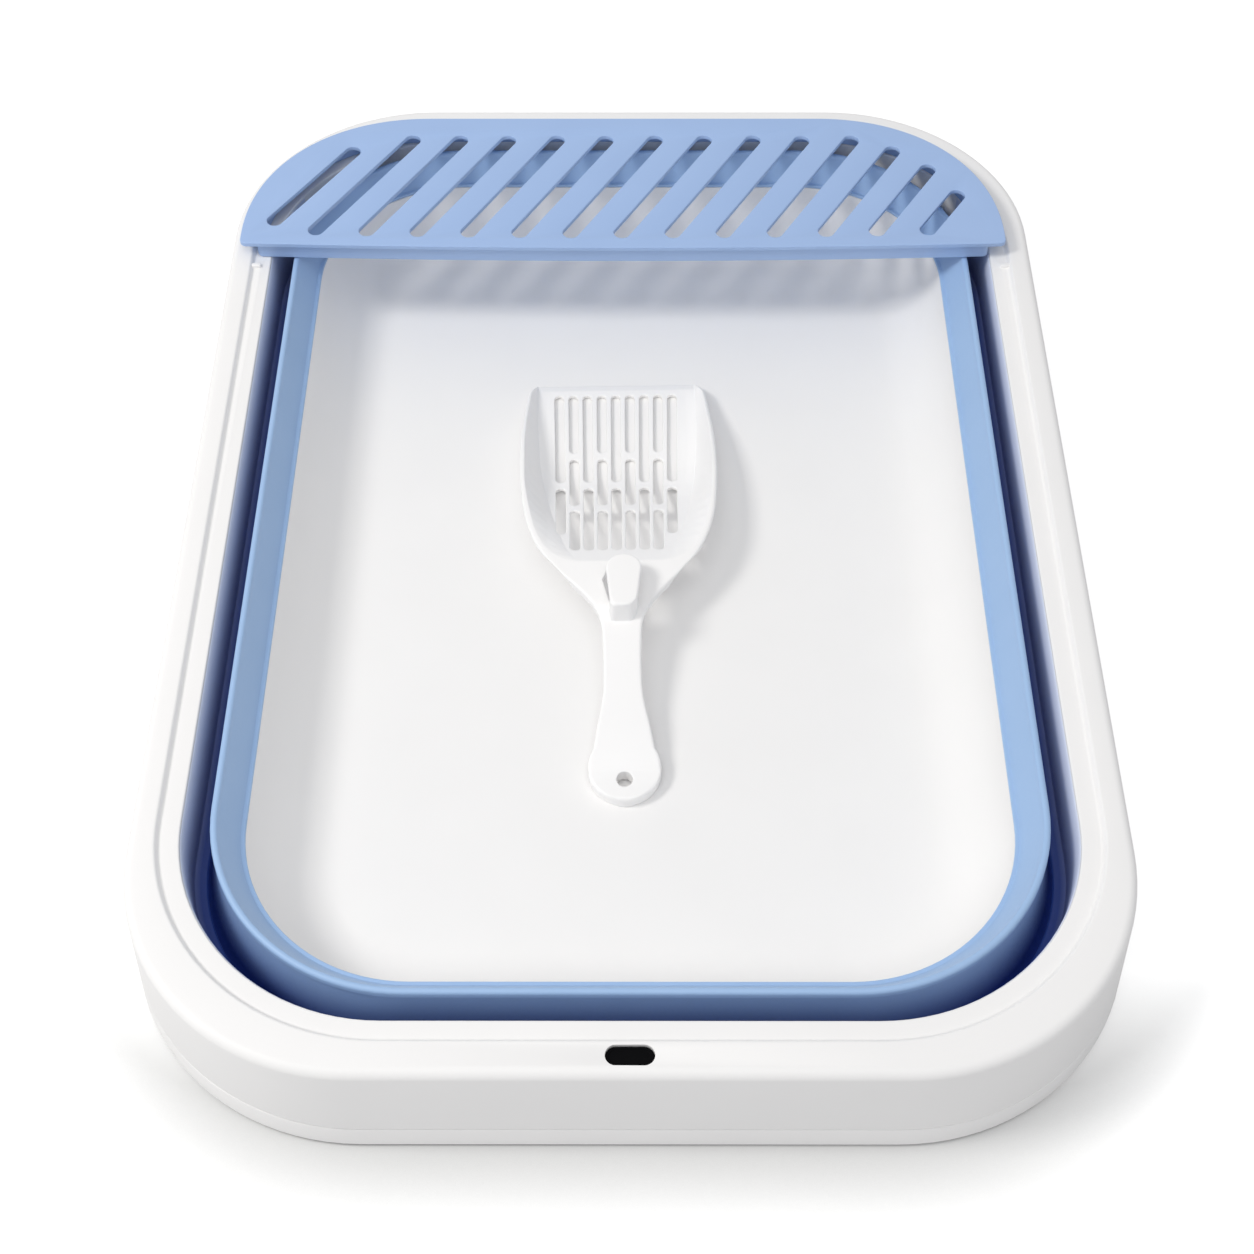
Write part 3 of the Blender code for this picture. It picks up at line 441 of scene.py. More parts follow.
def select_where(test):
    """Selects the vertices of the piece in edit mode whose place passes the test."""
    bpy.ops.mesh.select_all(action="DESELECT")
    mesh = bmesh.from_edit_mesh(bpy.context.object.data)
    for vertex in mesh.verts:
        vertex.select = test(vertex.co)
    mesh.select_flush(True)
    bmesh.update_edit_mesh(bpy.context.object.data)


def select_facing(way):
    """Selects the faces of the piece in edit mode that look up, for 1, or down, for -1."""
    bpy.ops.mesh.select_mode(type="FACE")
    bpy.ops.mesh.select_all(action="DESELECT")
    mesh = bmesh.from_edit_mesh(bpy.context.object.data)
    for face in mesh.faces:
        face.select = face.normal.z * way > 0.9
    bmesh.update_edit_mesh(bpy.context.object.data)


def inset_of(place, ease=0.0):
    """How far a place lies inside the rim's outline, with corners wider by ease."""
    over_x = abs(place.x) - (TOP_WIDTH / 2 - CORNER - ease)
    over_y = abs(place.y) - (TOP_LENGTH / 2 - CORNER - ease)
    if over_x > 0 and over_y > 0:
        return CORNER + ease - math.hypot(over_x, over_y)
    return CORNER + ease - max(over_x, over_y)


def widen_corners(ease, test):
    """Widens the four corners of what passes the test.

    Each step of the spin slides toward the middle of the box by its share of the ease.
    """
    across, along = TOP_WIDTH / 2 - CORNER, TOP_LENGTH / 2 - CORNER
    mesh = bmesh.from_edit_mesh(bpy.context.object.data)
    columns = {}
    for vertex in mesh.verts:
        over_x, over_y = abs(vertex.co.x) - across, abs(vertex.co.y) - along
        if test(vertex.co):
            step = round(math.atan2(over_y, over_x) / (math.pi / 2) * CORNER_STEPS)
            columns.setdefault((step, vertex.co.x > 0, vertex.co.y > 0), []).append(vertex)
    for (step, is_right, is_far), column in columns.items():
        turn = math.pi / 2 * step / CORNER_STEPS
        way_x, way_y = (1 if is_right else -1), (1 if is_far else -1)
        slide = Vector(((math.cos(turn) - 1) * way_x, (math.sin(turn) - 1) * way_y, 0))
        bpy.ops.mesh.select_all(action="DESELECT")
        for vertex in column:
            vertex.select = True
        mesh.select_flush(True)
        bpy.ops.transform.translate(value=ease * slide)


def pull_ends(front, back, test):
    """Moves the near half of what passes the test in by front, and the far half by back."""
    for side, way in ((-1, front), (1, -back)):
        select_where(lambda place: place.y * side > 0 and test(place))
        bpy.ops.transform.translate(value=(0, way, 0))


def leave_edit(angle=35):
    """Back to object mode, with normals outward and smooth shading up to the angle."""
    bpy.ops.mesh.select_all(action="SELECT")
    bpy.ops.mesh.normals_make_consistent(inside=False)
    bpy.ops.object.mode_set(mode="OBJECT")
    bpy.ops.object.shade_smooth_by_angle(angle=math.radians(angle))


def soften(piece, width_mm, segments=2, angle=35):
    """Rounds every edge that is sharper than the angle, as a mould does, and applies it."""
    choose(piece)
    bevel = piece.modifiers.new("soft_edges", "BEVEL")
    bevel.width = width_mm * MM
    bevel.segments = segments
    bevel.limit_method = "ANGLE"
    bevel.angle_limit = math.radians(angle)
    bevel.miter_outer = "MITER_ARC"
    bpy.ops.object.modifier_apply(modifier=bevel.name)
    bpy.ops.object.shade_smooth_by_angle(angle=math.radians(angle))


def cut_with(piece, cutter, operation="DIFFERENCE"):
    """One Boolean with the cutter, applied, and the cutter thrown away."""
    choose(piece)
    cut = piece.modifiers.new("cut", "BOOLEAN")
    cut.operation = operation
    cut.solver = "EXACT"
    cut.object = cutter
    bpy.ops.object.modifier_apply(modifier=cut.name)
    bpy.data.objects.remove(cutter, do_unlink=True)


def cylinder(name, sides, radius, height, middle, tilt=0.0):
    """A cylinder around its middle, upright or tilted about the X axis."""
    bpy.ops.object.select_all(action="DESELECT")
    bpy.ops.mesh.primitive_cylinder_add(
        vertices=sides, radius=radius, depth=height, location=middle, rotation=(tilt, 0, 0)
    )
    piece = bpy.context.object
    piece.name = piece.data.name = name
    bpy.ops.object.transform_apply(location=True, rotation=True, scale=True)
    return piece


def capsule(name, start, end, width, low, high):
    """A block with round ends: a cylinder whose far half is pulled from start to end."""
    piece = cylinder(name, 32, width / 2, high - low, (0, 0, 0))
    along = Vector(end) - Vector(start)
    bpy.ops.object.mode_set(mode="EDIT")
    select_where(lambda place: place.x > -HAIR)
    bpy.ops.transform.translate(value=(along.length, 0, 0))
    bpy.ops.object.mode_set(mode="OBJECT")
    piece.rotation_euler.z = math.atan2(along.y, along.x)
    piece.location = (start[0], start[1], (low + high) / 2)
    bpy.ops.object.transform_apply(location=True, rotation=True, scale=True)
    return piece


def mark_painted_shade(piece, shade_top, shade_bottom):
    """Stores painted shade by height: 0 at or above the first height given, 1 at or below the
    second.
    """
    depth = piece.data.attributes.new("depth", "FLOAT", "POINT")
    for vertex, item in zip(piece.data.vertices, depth.data):
        item.value = min(max((shade_top - vertex.co.z) / (shade_top - shade_bottom), 0.0), 1.0)


def dress(piece, plastic, body, node):
    """Gives a finished piece its plastic and its body, and hides the solid that it stands for."""
    piece.data.materials.clear()
    piece.data.materials.append(plastic)
    for face in piece.data.polygons:
        face.material_index = 0
    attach(piece, body)
    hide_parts(node)
    print(piece.name, "rides on", body, "with", len(piece.data.polygons), "faces")


print("a corner is spun in", CORNER_STEPS, "steps")

# %% [markdown]
# ## The tray
#
# The tray is one moulding: a pan with a generously rounded foot, a floor plate, and the low outer
# wall that the rim lands on, with a tongue inside the seam. It could start from a cube with
# bevelled corners, but its section has an inside and an outside that differ, so it is drawn as
# one open line from the pan's floor, over the lip, out to the wall and back under the floor.
# The two holes that are left in the middle are then filled. The pan's wall is a quarter of an
# ellipse, once for its inside and once, a wall thicker, for its outside.

# %% Tray
PAN_TOP = 36.3 * MM
PAN_INSET = 43 * MM
PAN_RUN = 30 * MM
UNDERSIDE = 2 * MM
FOOT = 1.4 * MM
TONGUE_TOP = 18 * MM
TONGUE_GAP = 0.6 * MM
TONGUE_WALL = 1.5 * MM
PAN_STEPS = 20
OVERLAP = 0.4 * MM
PAN_SIDE = 30 * MM
FILLET = 0.5 * MM


def pan_wall(run, floor, turns):
    """Points of the pan's wall: a quarter of an ellipse from the floor up to the pan's edge."""
    return [
        (pan_corner - run * math.cos(turn), floor + (PAN_TOP - floor) * (1 - math.sin(turn)))
        for turn in turns
    ]


def is_pan(place):
    """Whether a place belongs to the pan, and not to the tray's outer wall."""
    return inset_of(place) > PAN_SIDE


pan_corner = PAN_INSET + PAN_RUN
turns = [math.radians(90 - 90 * step / PAN_STEPS) for step in range(PAN_STEPS + 1)]
inside = pan_wall(PAN_RUN, FLOOR_TOP, turns)
outside = pan_wall(PAN_RUN + WALL, UNDERSIDE, reversed(turns))
outside = [point for point in outside if point[1] > FLOOR_TOP + OVERLAP]
tongue = WALL - flare(TONGUE_TOP) + TONGUE_GAP
wall = [
    (WALL - flare(FLOOR_TOP), FLOOR_TOP),
    (WALL - flare(SEAM), SEAM - WALL),
    (tongue + TONGUE_WALL, SEAM - WALL / 2),
    (tongue + TONGUE_WALL, TONGUE_TOP),
    (tongue, TONGUE_TOP),
    (tongue, SEAM),
]
wall += arc(LIP - flare(SEAM), SEAM - LIP, LIP, 90, 180, 4)
wall += arc(LIP - flare(FOOT), FOOT + LIP, LIP, 180, 270, 4)
wall += [(WALL - flare(FOOT), FOOT), (WALL - flare(FOOT), UNDERSIDE), (pan_corner, UNDERSIDE)]
tray = begin("tray")
draw_section(inside + outside + [(outside[-1][0] + FILLET, FLOOR_TOP)] + wall, closed=False)
sweep_round()
widen_corners(PAN_EASE, is_pan)
pull_ends(PAN_FRONT, PAN_BACK, is_pan)
bpy.ops.mesh.select_all(action="SELECT")
bpy.ops.mesh.fill_holes(sides=0)
leave_edit()
soften(tray, MOULD_EDGE_MM)
dress(tray, white_plastic, "base", "base_tray")

# %% [markdown]
# ## The rim frame
#
# The rim is the white frame that the hand lifts. Its section is a hollow channel: an outer skirt
# with a little draft, a rounded shoulder, a flat band, a small step down to the ledge that the
# grate lies on, and an inner wall that carries the band's hem. At the two ends the band is wider
# than at the sides, so the inner part of the finished ring is moved in a little there.

# %% Rim frame
RIM_FOOT = SEAM + SEAM_GAP
INNER_FOOT = 20.8 * MM
LEDGE_END = 20 * MM
STEP_START = 9.7 * MM
STEP_ROUND = 1.4 * MM
STEP_END = 12.7 * MM
STEP_HOLLOW = 1.3 * MM
BAND_SIDE = 9 * MM
BAND_UNDER = 9.3 * MM
LEDGE_UNDER = 12.1 * MM


def is_inner(place):
    """Whether a place of the rim lies inside its flat band, on the step, ledge or inner wall."""
    return inset_of(place) > BAND_SIDE


section = arc(LIP - flare(RIM_FOOT), RIM_FOOT + LIP, LIP, 270, 180, 4)
section += arc(EDGE_RADIUS, SHOULDER, EDGE_RADIUS, 180, 90, 10)
section += arc(STEP_START, RIM_TOP - STEP_ROUND, STEP_ROUND, 90, 30, 5)
section += arc(STEP_END, LEDGE_TOP + STEP_HOLLOW, STEP_HOLLOW, 215, 270, 5)
section += arc(LEDGE_END - LIP, LEDGE_TOP - LIP, LIP, 90, 0, 4)
section += [
    (LEDGE_END, INNER_FOOT),
    (LEDGE_END - WALL, INNER_FOOT),
    (LEDGE_END - WALL, LEDGE_TOP - WALL),
    (LEDGE_UNDER, LEDGE_TOP - WALL),
    (BAND_UNDER, RIM_TOP - WALL),
    (EDGE_RADIUS, RIM_TOP - WALL),
    (WALL, SHOULDER),
    (WALL - flare(RIM_FOOT), RIM_FOOT),
]
rim = begin("rim")
draw_section(section)
sweep_round()
widen_corners(RIM_EASE, is_inner)
pull_ends(RIM_ENDS, RIM_ENDS, is_inner)
leave_edit()
print("rim ring:", len(rim.data.vertices), "vertices")

# %% [markdown]
# ## The hanging slot and the pips
#
# The rim can hang from a hook by a slot in its front band. Mould makers cut such a slot with one
# round-ended punch, and a Boolean with a round-ended block does the same. On the ledge, just in
# front of the grate, stands a small locating pip on each side, joined to the rim in the same way.

# %% Hanging slot and pips
SLOT_Y = -267.65 * MM
SLOT_REACH = 5.2 * MM
SLOT_WIDTH = 8.3 * MM
SLOT_FLOOR = 48 * MM
SLOT_CLEAR = 60 * MM
PIP_PLACE = (186.8 * MM, 157 * MM)
PIP_REACH = 1.2 * MM
PIP_WIDTH = 2.6 * MM
PIP_FOOT = 51.5 * MM
PIP_TOP = 54.1 * MM
PIP_EDGE_MM = 0.5


def slot_block(name, extra, low, high):
    """A round-ended block in the place of the hanging slot, wider than it by extra."""
    return capsule(
        name, (-SLOT_REACH, SLOT_Y), (SLOT_REACH, SLOT_Y), SLOT_WIDTH + extra, low, high
    )


cut_with(rim, slot_block("slot", 0, SLOT_FLOOR, SLOT_CLEAR))
pip_x, pip_y = PIP_PLACE
for x in (-pip_x, pip_x):
    ends = (x - PIP_REACH, pip_y), (x + PIP_REACH, pip_y)
    pip = capsule("pip", *ends, PIP_WIDTH, PIP_FOOT, PIP_TOP)
    soften(pip, PIP_EDGE_MM, 3)
    cut_with(rim, pip, "UNION")
soften(rim, MOULD_EDGE_MM)
dress(rim, white_plastic, "rim", "rim_frame")

# %% [markdown]
# ## The insert of the hanging slot
#
# A black plug sits in the slot, held from below by a thin flange, a little lower than the band.
# It could be one extruded outline. Here a round-ended block is inset on top for the shallow dish,
# and a wider, flat block is joined on as the flange, as the two have one middle line.

# %% Slot insert
PLUG_PLAY = 0.6 * MM
PLUG_FOOT = 49.5 * MM
PLUG_TOP = 53.7 * MM
DISH_EDGE = 0.9 * MM
DISH_SLOPE = 0.3 * MM
DISH_DEPTH = 0.5 * MM
HOLD = 0.4 * MM
HOLD_FOOT = 50.6 * MM
HOLD_TOP = 52.2 * MM
insert = slot_block("insert", -PLUG_PLAY, PLUG_FOOT, PLUG_TOP)
bpy.ops.object.mode_set(mode="EDIT")
select_facing(1)
bpy.ops.mesh.inset(thickness=DISH_EDGE, depth=0)
bpy.ops.mesh.inset(thickness=DISH_SLOPE, depth=-DISH_DEPTH)
leave_edit()
cut_with(insert, slot_block("flange", HOLD, HOLD_FOOT, HOLD_TOP), "UNION")
soften(insert, SOFT_EDGE_MM)
dress(insert, black_plastic, "rim", "slot_insert")

# %% [markdown]
# ## The folding band, and its ridge
#
# The band is soft elastomer, moulded onto both hard parts. On the real box it is one moulding.
# Here its ridge, hem and web are made apart: the ridge follows the tray and the hem the rim, while
# the web is left in place, and the web's two edges are tucked into its neighbours, so that no gap
# shows.
# The ridge stands on the pan's edge: a round bead on top, a sloping skin inside and a lip that
# grips the edge. A bevelled curve would have one round section only, so it is drawn and spun too.

# %% Ridge
BEAD_INSET = 30.9 * MM
BEAD_WIDTH = 3.1 * MM
BEAD_TOP = 52 * MM
BEAD_FOOT = 48.3 * MM
SKIN = 1.8 * MM
LIP_TOP = 38.1 * MM
LIP_START = 41.2 * MM
LIP_ROUND = 0.5 * MM
GRIP_DEPTH = 5.5 * MM
GRIP_WALL = 1.5 * MM
SEAT_GAP = 0.3 * MM
UNDERCUT = 0.8 * MM
SLOPE_STEPS = 9
UNDER_STEPS = 6
SLOPE_HOLLOW = 1.15
radius = BEAD_WIDTH / 2
top = BEAD_TOP - radius
start = BEAD_INSET + BEAD_WIDTH
slope = []
for step in range(1, SLOPE_STEPS + 1):
    run = step / SLOPE_STEPS
    height = LIP_TOP + (top - LIP_TOP) * (1 - run) ** SLOPE_HOLLOW
    slope.append((start + (LIP_START - start) * run, height))
section = [(BEAD_INSET, BEAD_FOOT)] + arc(BEAD_INSET + radius, top, radius, 180, 0, 10) + slope
section += arc(PAN_INSET - LIP_ROUND, LIP_TOP - LIP_ROUND, LIP_ROUND, 90, 0, 4)
section += [
    (PAN_INSET, PAN_TOP + SEAT_GAP),
    (LIP_START, PAN_TOP + SEAT_GAP),
    (LIP_START, PAN_TOP - GRIP_DEPTH),
    (LIP_START - GRIP_WALL, PAN_TOP - GRIP_DEPTH),
    (LIP_START - GRIP_WALL, LIP_TOP - UNDERCUT),
]
under = [(inset - SKIN, height - UNDERCUT) for inset, height in slope[:UNDER_STEPS]]
section += under[::-1] + [(start - UNDERCUT, BEAD_FOOT)]
ridge = begin("ridge")
draw_section(section)
sweep_round(PAN_FRONT, PAN_BACK, PAN_EASE)
leave_edit(50)
soften(ridge, SOFT_EDGE_MM, 2, 50)
dress(ridge, blue_elastomer, "base", "band_ridge")

# %% [markdown]
# ## The hem
#
# The hem is the band's outer edge, moulded round the foot of the rim's inner wall. That white wall
# gets a bluish cast from the blue band's light, so a pale blue sheet under a millimetre thick runs
# up it to just below the ledge, as a painted reflection. A sheet has an edge of its own, which a
# recoloured wall would lack. Down in the gutter the hem darkens by height, as painted shade.

# %% Hem
HEM_TOP = 20.5 * MM
HEM_LOW = 17.4 * MM
REFLECTION_SHEET_TOP = 51.3 * MM
HEM_BACK = -1.8 * MM
HEM_SIDE = 22 * MM
HEM_START = 17.2 * MM
HEM_BEVEL = 0.8 * MM
HEM_NECK = (23.0 * MM, 20.1 * MM)
BULGE = (24.9 * MM, 18.8 * MM)
BULGE_ROUND = 1.25 * MM
REFLECTION_SHEET_START = LEDGE_END + 0.05 * MM
THIN = 0.5 * MM
section = [
    (HEM_START, HEM_LOW + HEM_BEVEL),
    (HEM_START, HEM_TOP),
    # up the rim's white inner wall and down again: the thin pale blue sheet of painted reflection
    (REFLECTION_SHEET_START, HEM_TOP),
    (REFLECTION_SHEET_START, REFLECTION_SHEET_TOP),
    (LEDGE_END + THIN, REFLECTION_SHEET_TOP - THIN),
    (LEDGE_END + 1.4 * THIN, HEM_TOP + MM),
    HEM_NECK,
]
section += arc(*BULGE, BULGE_ROUND, 80, -90, 8) + [(HEM_START + HEM_BEVEL, HEM_LOW)]
hem = begin("hem")
draw_section(section)
sweep_round(RIM_ENDS, RIM_ENDS, RIM_EASE)
pull_ends(0.0, HEM_BACK, lambda place: inset_of(place, RIM_EASE) > HEM_SIDE)
leave_edit(50)
soften(hem, SOFT_EDGE_MM, 2, 50)
# painted shade: the hem darkens toward the bottom of the gutter
mark_painted_shade(hem, shade_top=27 * MM, shade_bottom=20 * MM)
dress(hem, painted_bounce_elastomer, "rim", "band_hem")

# %% [markdown]
# ## The web
#
# The web is the thin wall that turns over when the rim goes up, the part that makes the box fold.
# Its middle line is drawn from the hem up to the bead, and half the thickness is added on either
# side. The rings at its two edges have different corners, so the corners widen level by level from
# the hem's to the ridge's. It is baked in place and follows neither the tray nor the rim.

# %% Web
WEB = 1.4 * MM
WEB_BACK = 2.2 * MM
LEVELS = [21, 24, 28, 33, 38, 43]
path = [
    (25.3, 18.6), (26.4, 18.8), (27.6, 19.8), (28.3, 21.4), (29.0, 23.6), (29.9, 27.2),
    (30.7, 31.2), (31.3, 35.4), (31.8, 39.6), (32.1, 43.6), (32.3, 46.8), (32.3, 48.6),
]
path = [(inset * MM, height * MM) for inset, height in path]
outer, inner = [], []
for at, (inset, height) in enumerate(path):
    before, after = path[max(at - 1, 0)], path[min(at + 1, len(path) - 1)]
    along = Vector((after[0] - before[0], after[1] - before[1])).normalized()
    outer.append((inset - along.y * WEB / 2, height + along.x * WEB / 2))
    inner.append((inset + along.y * WEB / 2, height - along.x * WEB / 2))
web = begin("web")
draw_section(outer + inner[::-1])
sweep_round(RIM_ENDS, WEB_BACK)
widen_corners(RIM_EASE, lambda place: True)
front_step = (PAN_FRONT - RIM_ENDS) / len(LEVELS)
back_step = (PAN_BACK - WEB_BACK) / len(LEVELS)
for level in LEVELS:
    widen_corners((PAN_EASE - RIM_EASE) / len(LEVELS), lambda place: place.z > level * MM)
    pull_ends(front_step, back_step, lambda place: place.z > level * MM)
leave_edit(60)
# painted shade: the web's blue darkens toward the bottom of the gutter
mark_painted_shade(web, shade_top=49 * MM, shade_bottom=24 * MM)
web.data.materials.clear()
web.data.materials.append(blue_elastomer)
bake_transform(web)
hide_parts("band_web")
print("web: bends between base and rim,", len(web.data.vertices), "vertices")

# %% [markdown]
# ## The feet
#
# Four small rubber pads stand under the floor plate. Each is a disc with a ring groove pressed
# into its foot. The groove could be cut with a Boolean, but four insets press it in just as well.
# One pad is made, and the others are copies with their own mesh.

# %% Feet
PAD_RADIUS = 9 * MM
PAD_HEIGHT = 1.7 * MM
PAD_X = -140 * MM
PAD_Y = -205 * MM
ACROSS = 280 * MM
ALONG = 410 * MM
GROOVE_EDGE = 2.2 * MM
GROOVE_WIDTH = 1.6 * MM
GROOVE_SLOPE = 0.2 * MM
GROOVE_DEPTH = 0.5 * MM
pad = cylinder(
    "foot_front_left", 48, PAD_RADIUS, PAD_HEIGHT, (PAD_X, PAD_Y, PAD_HEIGHT / 2)
)
bpy.ops.object.mode_set(mode="EDIT")
select_facing(-1)
bpy.ops.mesh.inset(thickness=GROOVE_EDGE, depth=0)
bpy.ops.mesh.inset(thickness=GROOVE_SLOPE, depth=-GROOVE_DEPTH)
bpy.ops.mesh.inset(thickness=GROOVE_WIDTH, depth=0)
bpy.ops.mesh.inset(thickness=GROOVE_SLOPE, depth=GROOVE_DEPTH)
leave_edit()
soften(pad, SOFT_EDGE_MM)
for name, x, y in (
    ("front_right", ACROSS, 0), ("back_left", 0, ALONG), ("back_right", ACROSS, ALONG)
):
    choose(pad)
    bpy.ops.object.duplicate(linked=False)
    copy = bpy.context.object
    copy.name = copy.data.name = "foot_" + name
    copy.location = (x, y, 0)
    bpy.ops.object.transform_apply(location=True, rotation=True, scale=True)
    dress(copy, foot_rubber, "base", "foot_pad_" + name)
dress(pad, foot_rubber, "base", "foot_pad_front_left")

# %% [markdown]
# ## The sifting grate
#
# The grate is a thin D-shaped plate on a low flange that stands on the rim's ledge. It is box
# modelling: a plane gets its two big round corners with a vertex bevel, its front edge is
# subdivided and bowed point by point, and it is extruded to a plate. The flange is the same
# outline a little smaller, extruded down and hollowed with an inset, and joined with a Boolean.
# A drawn and spun section wouldn't do here, because the D has a straight side.

# %% Grate plate
GRATE_HALF = 190.5 * MM
GRATE_FRONT = 162.1 * MM
GRATE_BACK = 258.2 * MM
GRATE_CORNER = 90 * MM
GRATE_BOW = 3.3 * MM
GRATE_SHIFT = -3.9 * MM
GRATE_TOP = 63.5 * MM
GRATE_UNDER = 61 * MM
GRATE_FOOT = LEDGE_TOP + 0.3 * MM
FRONT_CORNER = 3 * MM
CORNER_PROFILE = 0.525
FLANGE_SIDE = 7.6 * MM
FLANGE_FRONT = 1.7 * MM
FLANGE_BACK = 3.7 * MM
FLANGE_CORNER = 87 * MM
FLANGE_WALL = 2.2 * MM
FLANGE_ROOT = 0.3 * MM


def d_block(name, side, front, back, corner, top, foot):
    """A D-shaped block: round at the back and nearly straight at the front.

    It is set in from the plate's outline by side, front and back.
    """
    low, high = GRATE_FRONT + front, GRATE_BACK - back
    half = GRATE_HALF - side
    bpy.ops.object.select_all(action="DESELECT")
    bpy.ops.mesh.primitive_plane_add(size=1, location=(GRATE_SHIFT, (low + high) / 2, foot))
    piece = bpy.context.object
    piece.name = piece.data.name = name
    piece.scale = (2 * half, high - low, 1)
    bpy.ops.object.transform_apply(location=True, rotation=True, scale=True)
    bpy.ops.object.mode_set(mode="EDIT")
    bpy.ops.mesh.select_mode(type="VERT")
    select_where(lambda place: place.y > low + MM)
    bpy.ops.mesh.bevel(offset=corner, segments=36, profile=CORNER_PROFILE, affect="VERTICES")
    select_where(lambda place: place.y < low + MM)
    bpy.ops.mesh.bevel(offset=FRONT_CORNER, segments=5, affect="VERTICES")
    line = low + HAIR
    select_where(lambda place: place.y < line)
    bpy.ops.mesh.subdivide(number_cuts=31)
    mesh = bmesh.from_edit_mesh(piece.data)
    columns = sorted({round(vertex.co.x, 6) for vertex in mesh.verts if vertex.co.y < line})
    for column in columns:
        share = (column - GRATE_SHIFT) / (half - FRONT_CORNER)
        select_where(lambda place: place.y < line and abs(place.x - column) < HAIR)
        bpy.ops.transform.translate(value=(0, -GRATE_BOW * (1 - share * share), 0))
    bpy.ops.mesh.select_mode(type="FACE")
    bpy.ops.mesh.select_all(action="SELECT")
    bpy.ops.mesh.extrude_region_move(TRANSFORM_OT_translate={"value": (0, 0, top - foot)})
    bpy.ops.mesh.select_all(action="SELECT")
    bpy.ops.mesh.normals_make_consistent(inside=False)
    print(name, "has", len(columns), "points along its bowed front")
    return piece


grate = d_block("grate", 0, 0, 0, GRATE_CORNER, GRATE_TOP, GRATE_UNDER)
leave_edit()
flange = d_block(
    "flange", FLANGE_SIDE, FLANGE_FRONT, FLANGE_BACK, FLANGE_CORNER, GRATE_UNDER + MM, GRATE_FOOT
)
select_facing(-1)
bpy.ops.mesh.inset(thickness=FLANGE_WALL, depth=0)
bpy.ops.mesh.extrude_region_move(
    TRANSFORM_OT_translate={"value": (0, 0, GRATE_UNDER + FLANGE_ROOT - GRATE_FOOT)}
)
leave_edit()
cut_with(grate, flange, "UNION")
low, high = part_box("sifting_grate")
back_edge = max(vertex.co.y for vertex in grate.data.vertices)
print("solid grate from", in_mm(low), "to", in_mm(high), "and the piece to", in_mm([back_edge]))

# %% [markdown]
# ## The slots of the grate
#
# Fourteen slots let the grains fall off the paws. They lean by about 59 degrees, a little less
# toward the ends of the plate, and stop at an even margin from its round edge, so each is as long
# as the plate allows there. An array modifier would give them all one length and one slant. Here
# each cutter is walked step by step along its slant until it meets the margin, and all cutters
# are joined into one for a single Boolean.

# %% Grate slots
SLOTS = 14
FIRST_SLOT = -178.6 * MM
SLOT_PITCH = 25.47 * MM
GRATE_SLOT_WIDTH = 8.3 * MM
MARGIN = 14.6 * MM
SLOT_HEAD = 18.2 * MM
SLOT_EASE = 3 * MM
SLOT_LEAN = 59
LEFT_LEAN = 3
RIGHT_LEAN = 5
SLOT_START = 11.2 * MM
WALK = 0.5 * MM
CUT_LOW = 53 * MM
CUT_HIGH = 70 * MM
GRATE_EDGE_MM = 0.4


def in_plate(x, y):
    """Whether a slot may still run here: inside the plate's outline, less the margin."""
    reach = GRATE_HALF - MARGIN
    round_part = GRATE_CORNER + SLOT_EASE - MARGIN
    over, beyond = abs(x) - (reach - round_part), y - (GRATE_BACK - MARGIN - round_part)
    if over > 0 and beyond > 0:
        return math.hypot(over, beyond) < round_part
    return abs(x) < reach and y < GRATE_BACK - SLOT_HEAD


cutters = []
for index in range(SLOTS):
    x = FIRST_SLOT + index * SLOT_PITCH
    share = x / GRATE_HALF
    less = (RIGHT_LEAN if share > 0 else LEFT_LEAN) * abs(share) ** 3
    angle = math.radians(SLOT_LEAN - less)
    step = Vector((math.cos(angle), math.sin(angle))) * WALK
    begin_at = Vector((x, GRATE_FRONT - GRATE_BOW * (1 - share * share) + SLOT_START))
    while not in_plate(*begin_at):
        begin_at += step
    end_at = begin_at.copy()
    while in_plate(*end_at) and end_at.y < GRATE_BACK - SLOT_HEAD:
        end_at += step
    shift = Vector((GRATE_SHIFT, 0))
    cutters.append(
        capsule("slot", begin_at + shift, end_at + shift, GRATE_SLOT_WIDTH, CUT_LOW, CUT_HIGH)
    )
bpy.ops.object.select_all(action="DESELECT")
for cutter in cutters:
    cutter.select_set(True)
bpy.context.view_layer.objects.active = cutters[0]
bpy.ops.object.join()
cut_with(grate, cutters[0])
soften(grate, GRATE_EDGE_MM, 3)
dress(grate, blue_plastic, "grate", "sifting_grate")

# %% [markdown]
# ## The scoop
#
# The scoop is one moulding whose walls, floor and handle flow into each other, with every edge
# rounded a little, because it is held in the hand. Its true sections are already in the plain
# solid, so a copy of that solid is the blank. It could be drawn again by hand, but the slots and
# the walls that lean over them would come out no better. Its doubled points are merged first.

# %% Scoop blank
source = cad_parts["litter_scoop"]
scoop = bpy.data.objects.new("scoop", source.data.copy())
scoop.data.name = "scoop"
scene.collection.objects.link(scoop)
choose(scoop)
bpy.ops.object.mode_set(mode="EDIT")
bpy.ops.mesh.select_mode(type="VERT")
bpy.ops.mesh.select_all(action="SELECT")
bpy.ops.mesh.remove_doubles(threshold=0.02 * MM)
leave_edit()
print("scoop blank:", len(scoop.data.polygons), "faces")

# %% [markdown]
# ## The hook and the tail plate
#
# The scoop hangs over the box's wall by a hook, a flat rounded tongue on a post at the neck. The
# handle ends in a round plate, tilted a little, with a hole for a cord. The blank has both in
# plain form. Sculpting would round them, but two cylinders with soft edges keep their shape true:
# the near half of one is narrowed and pulled toward the handle for the tongue.

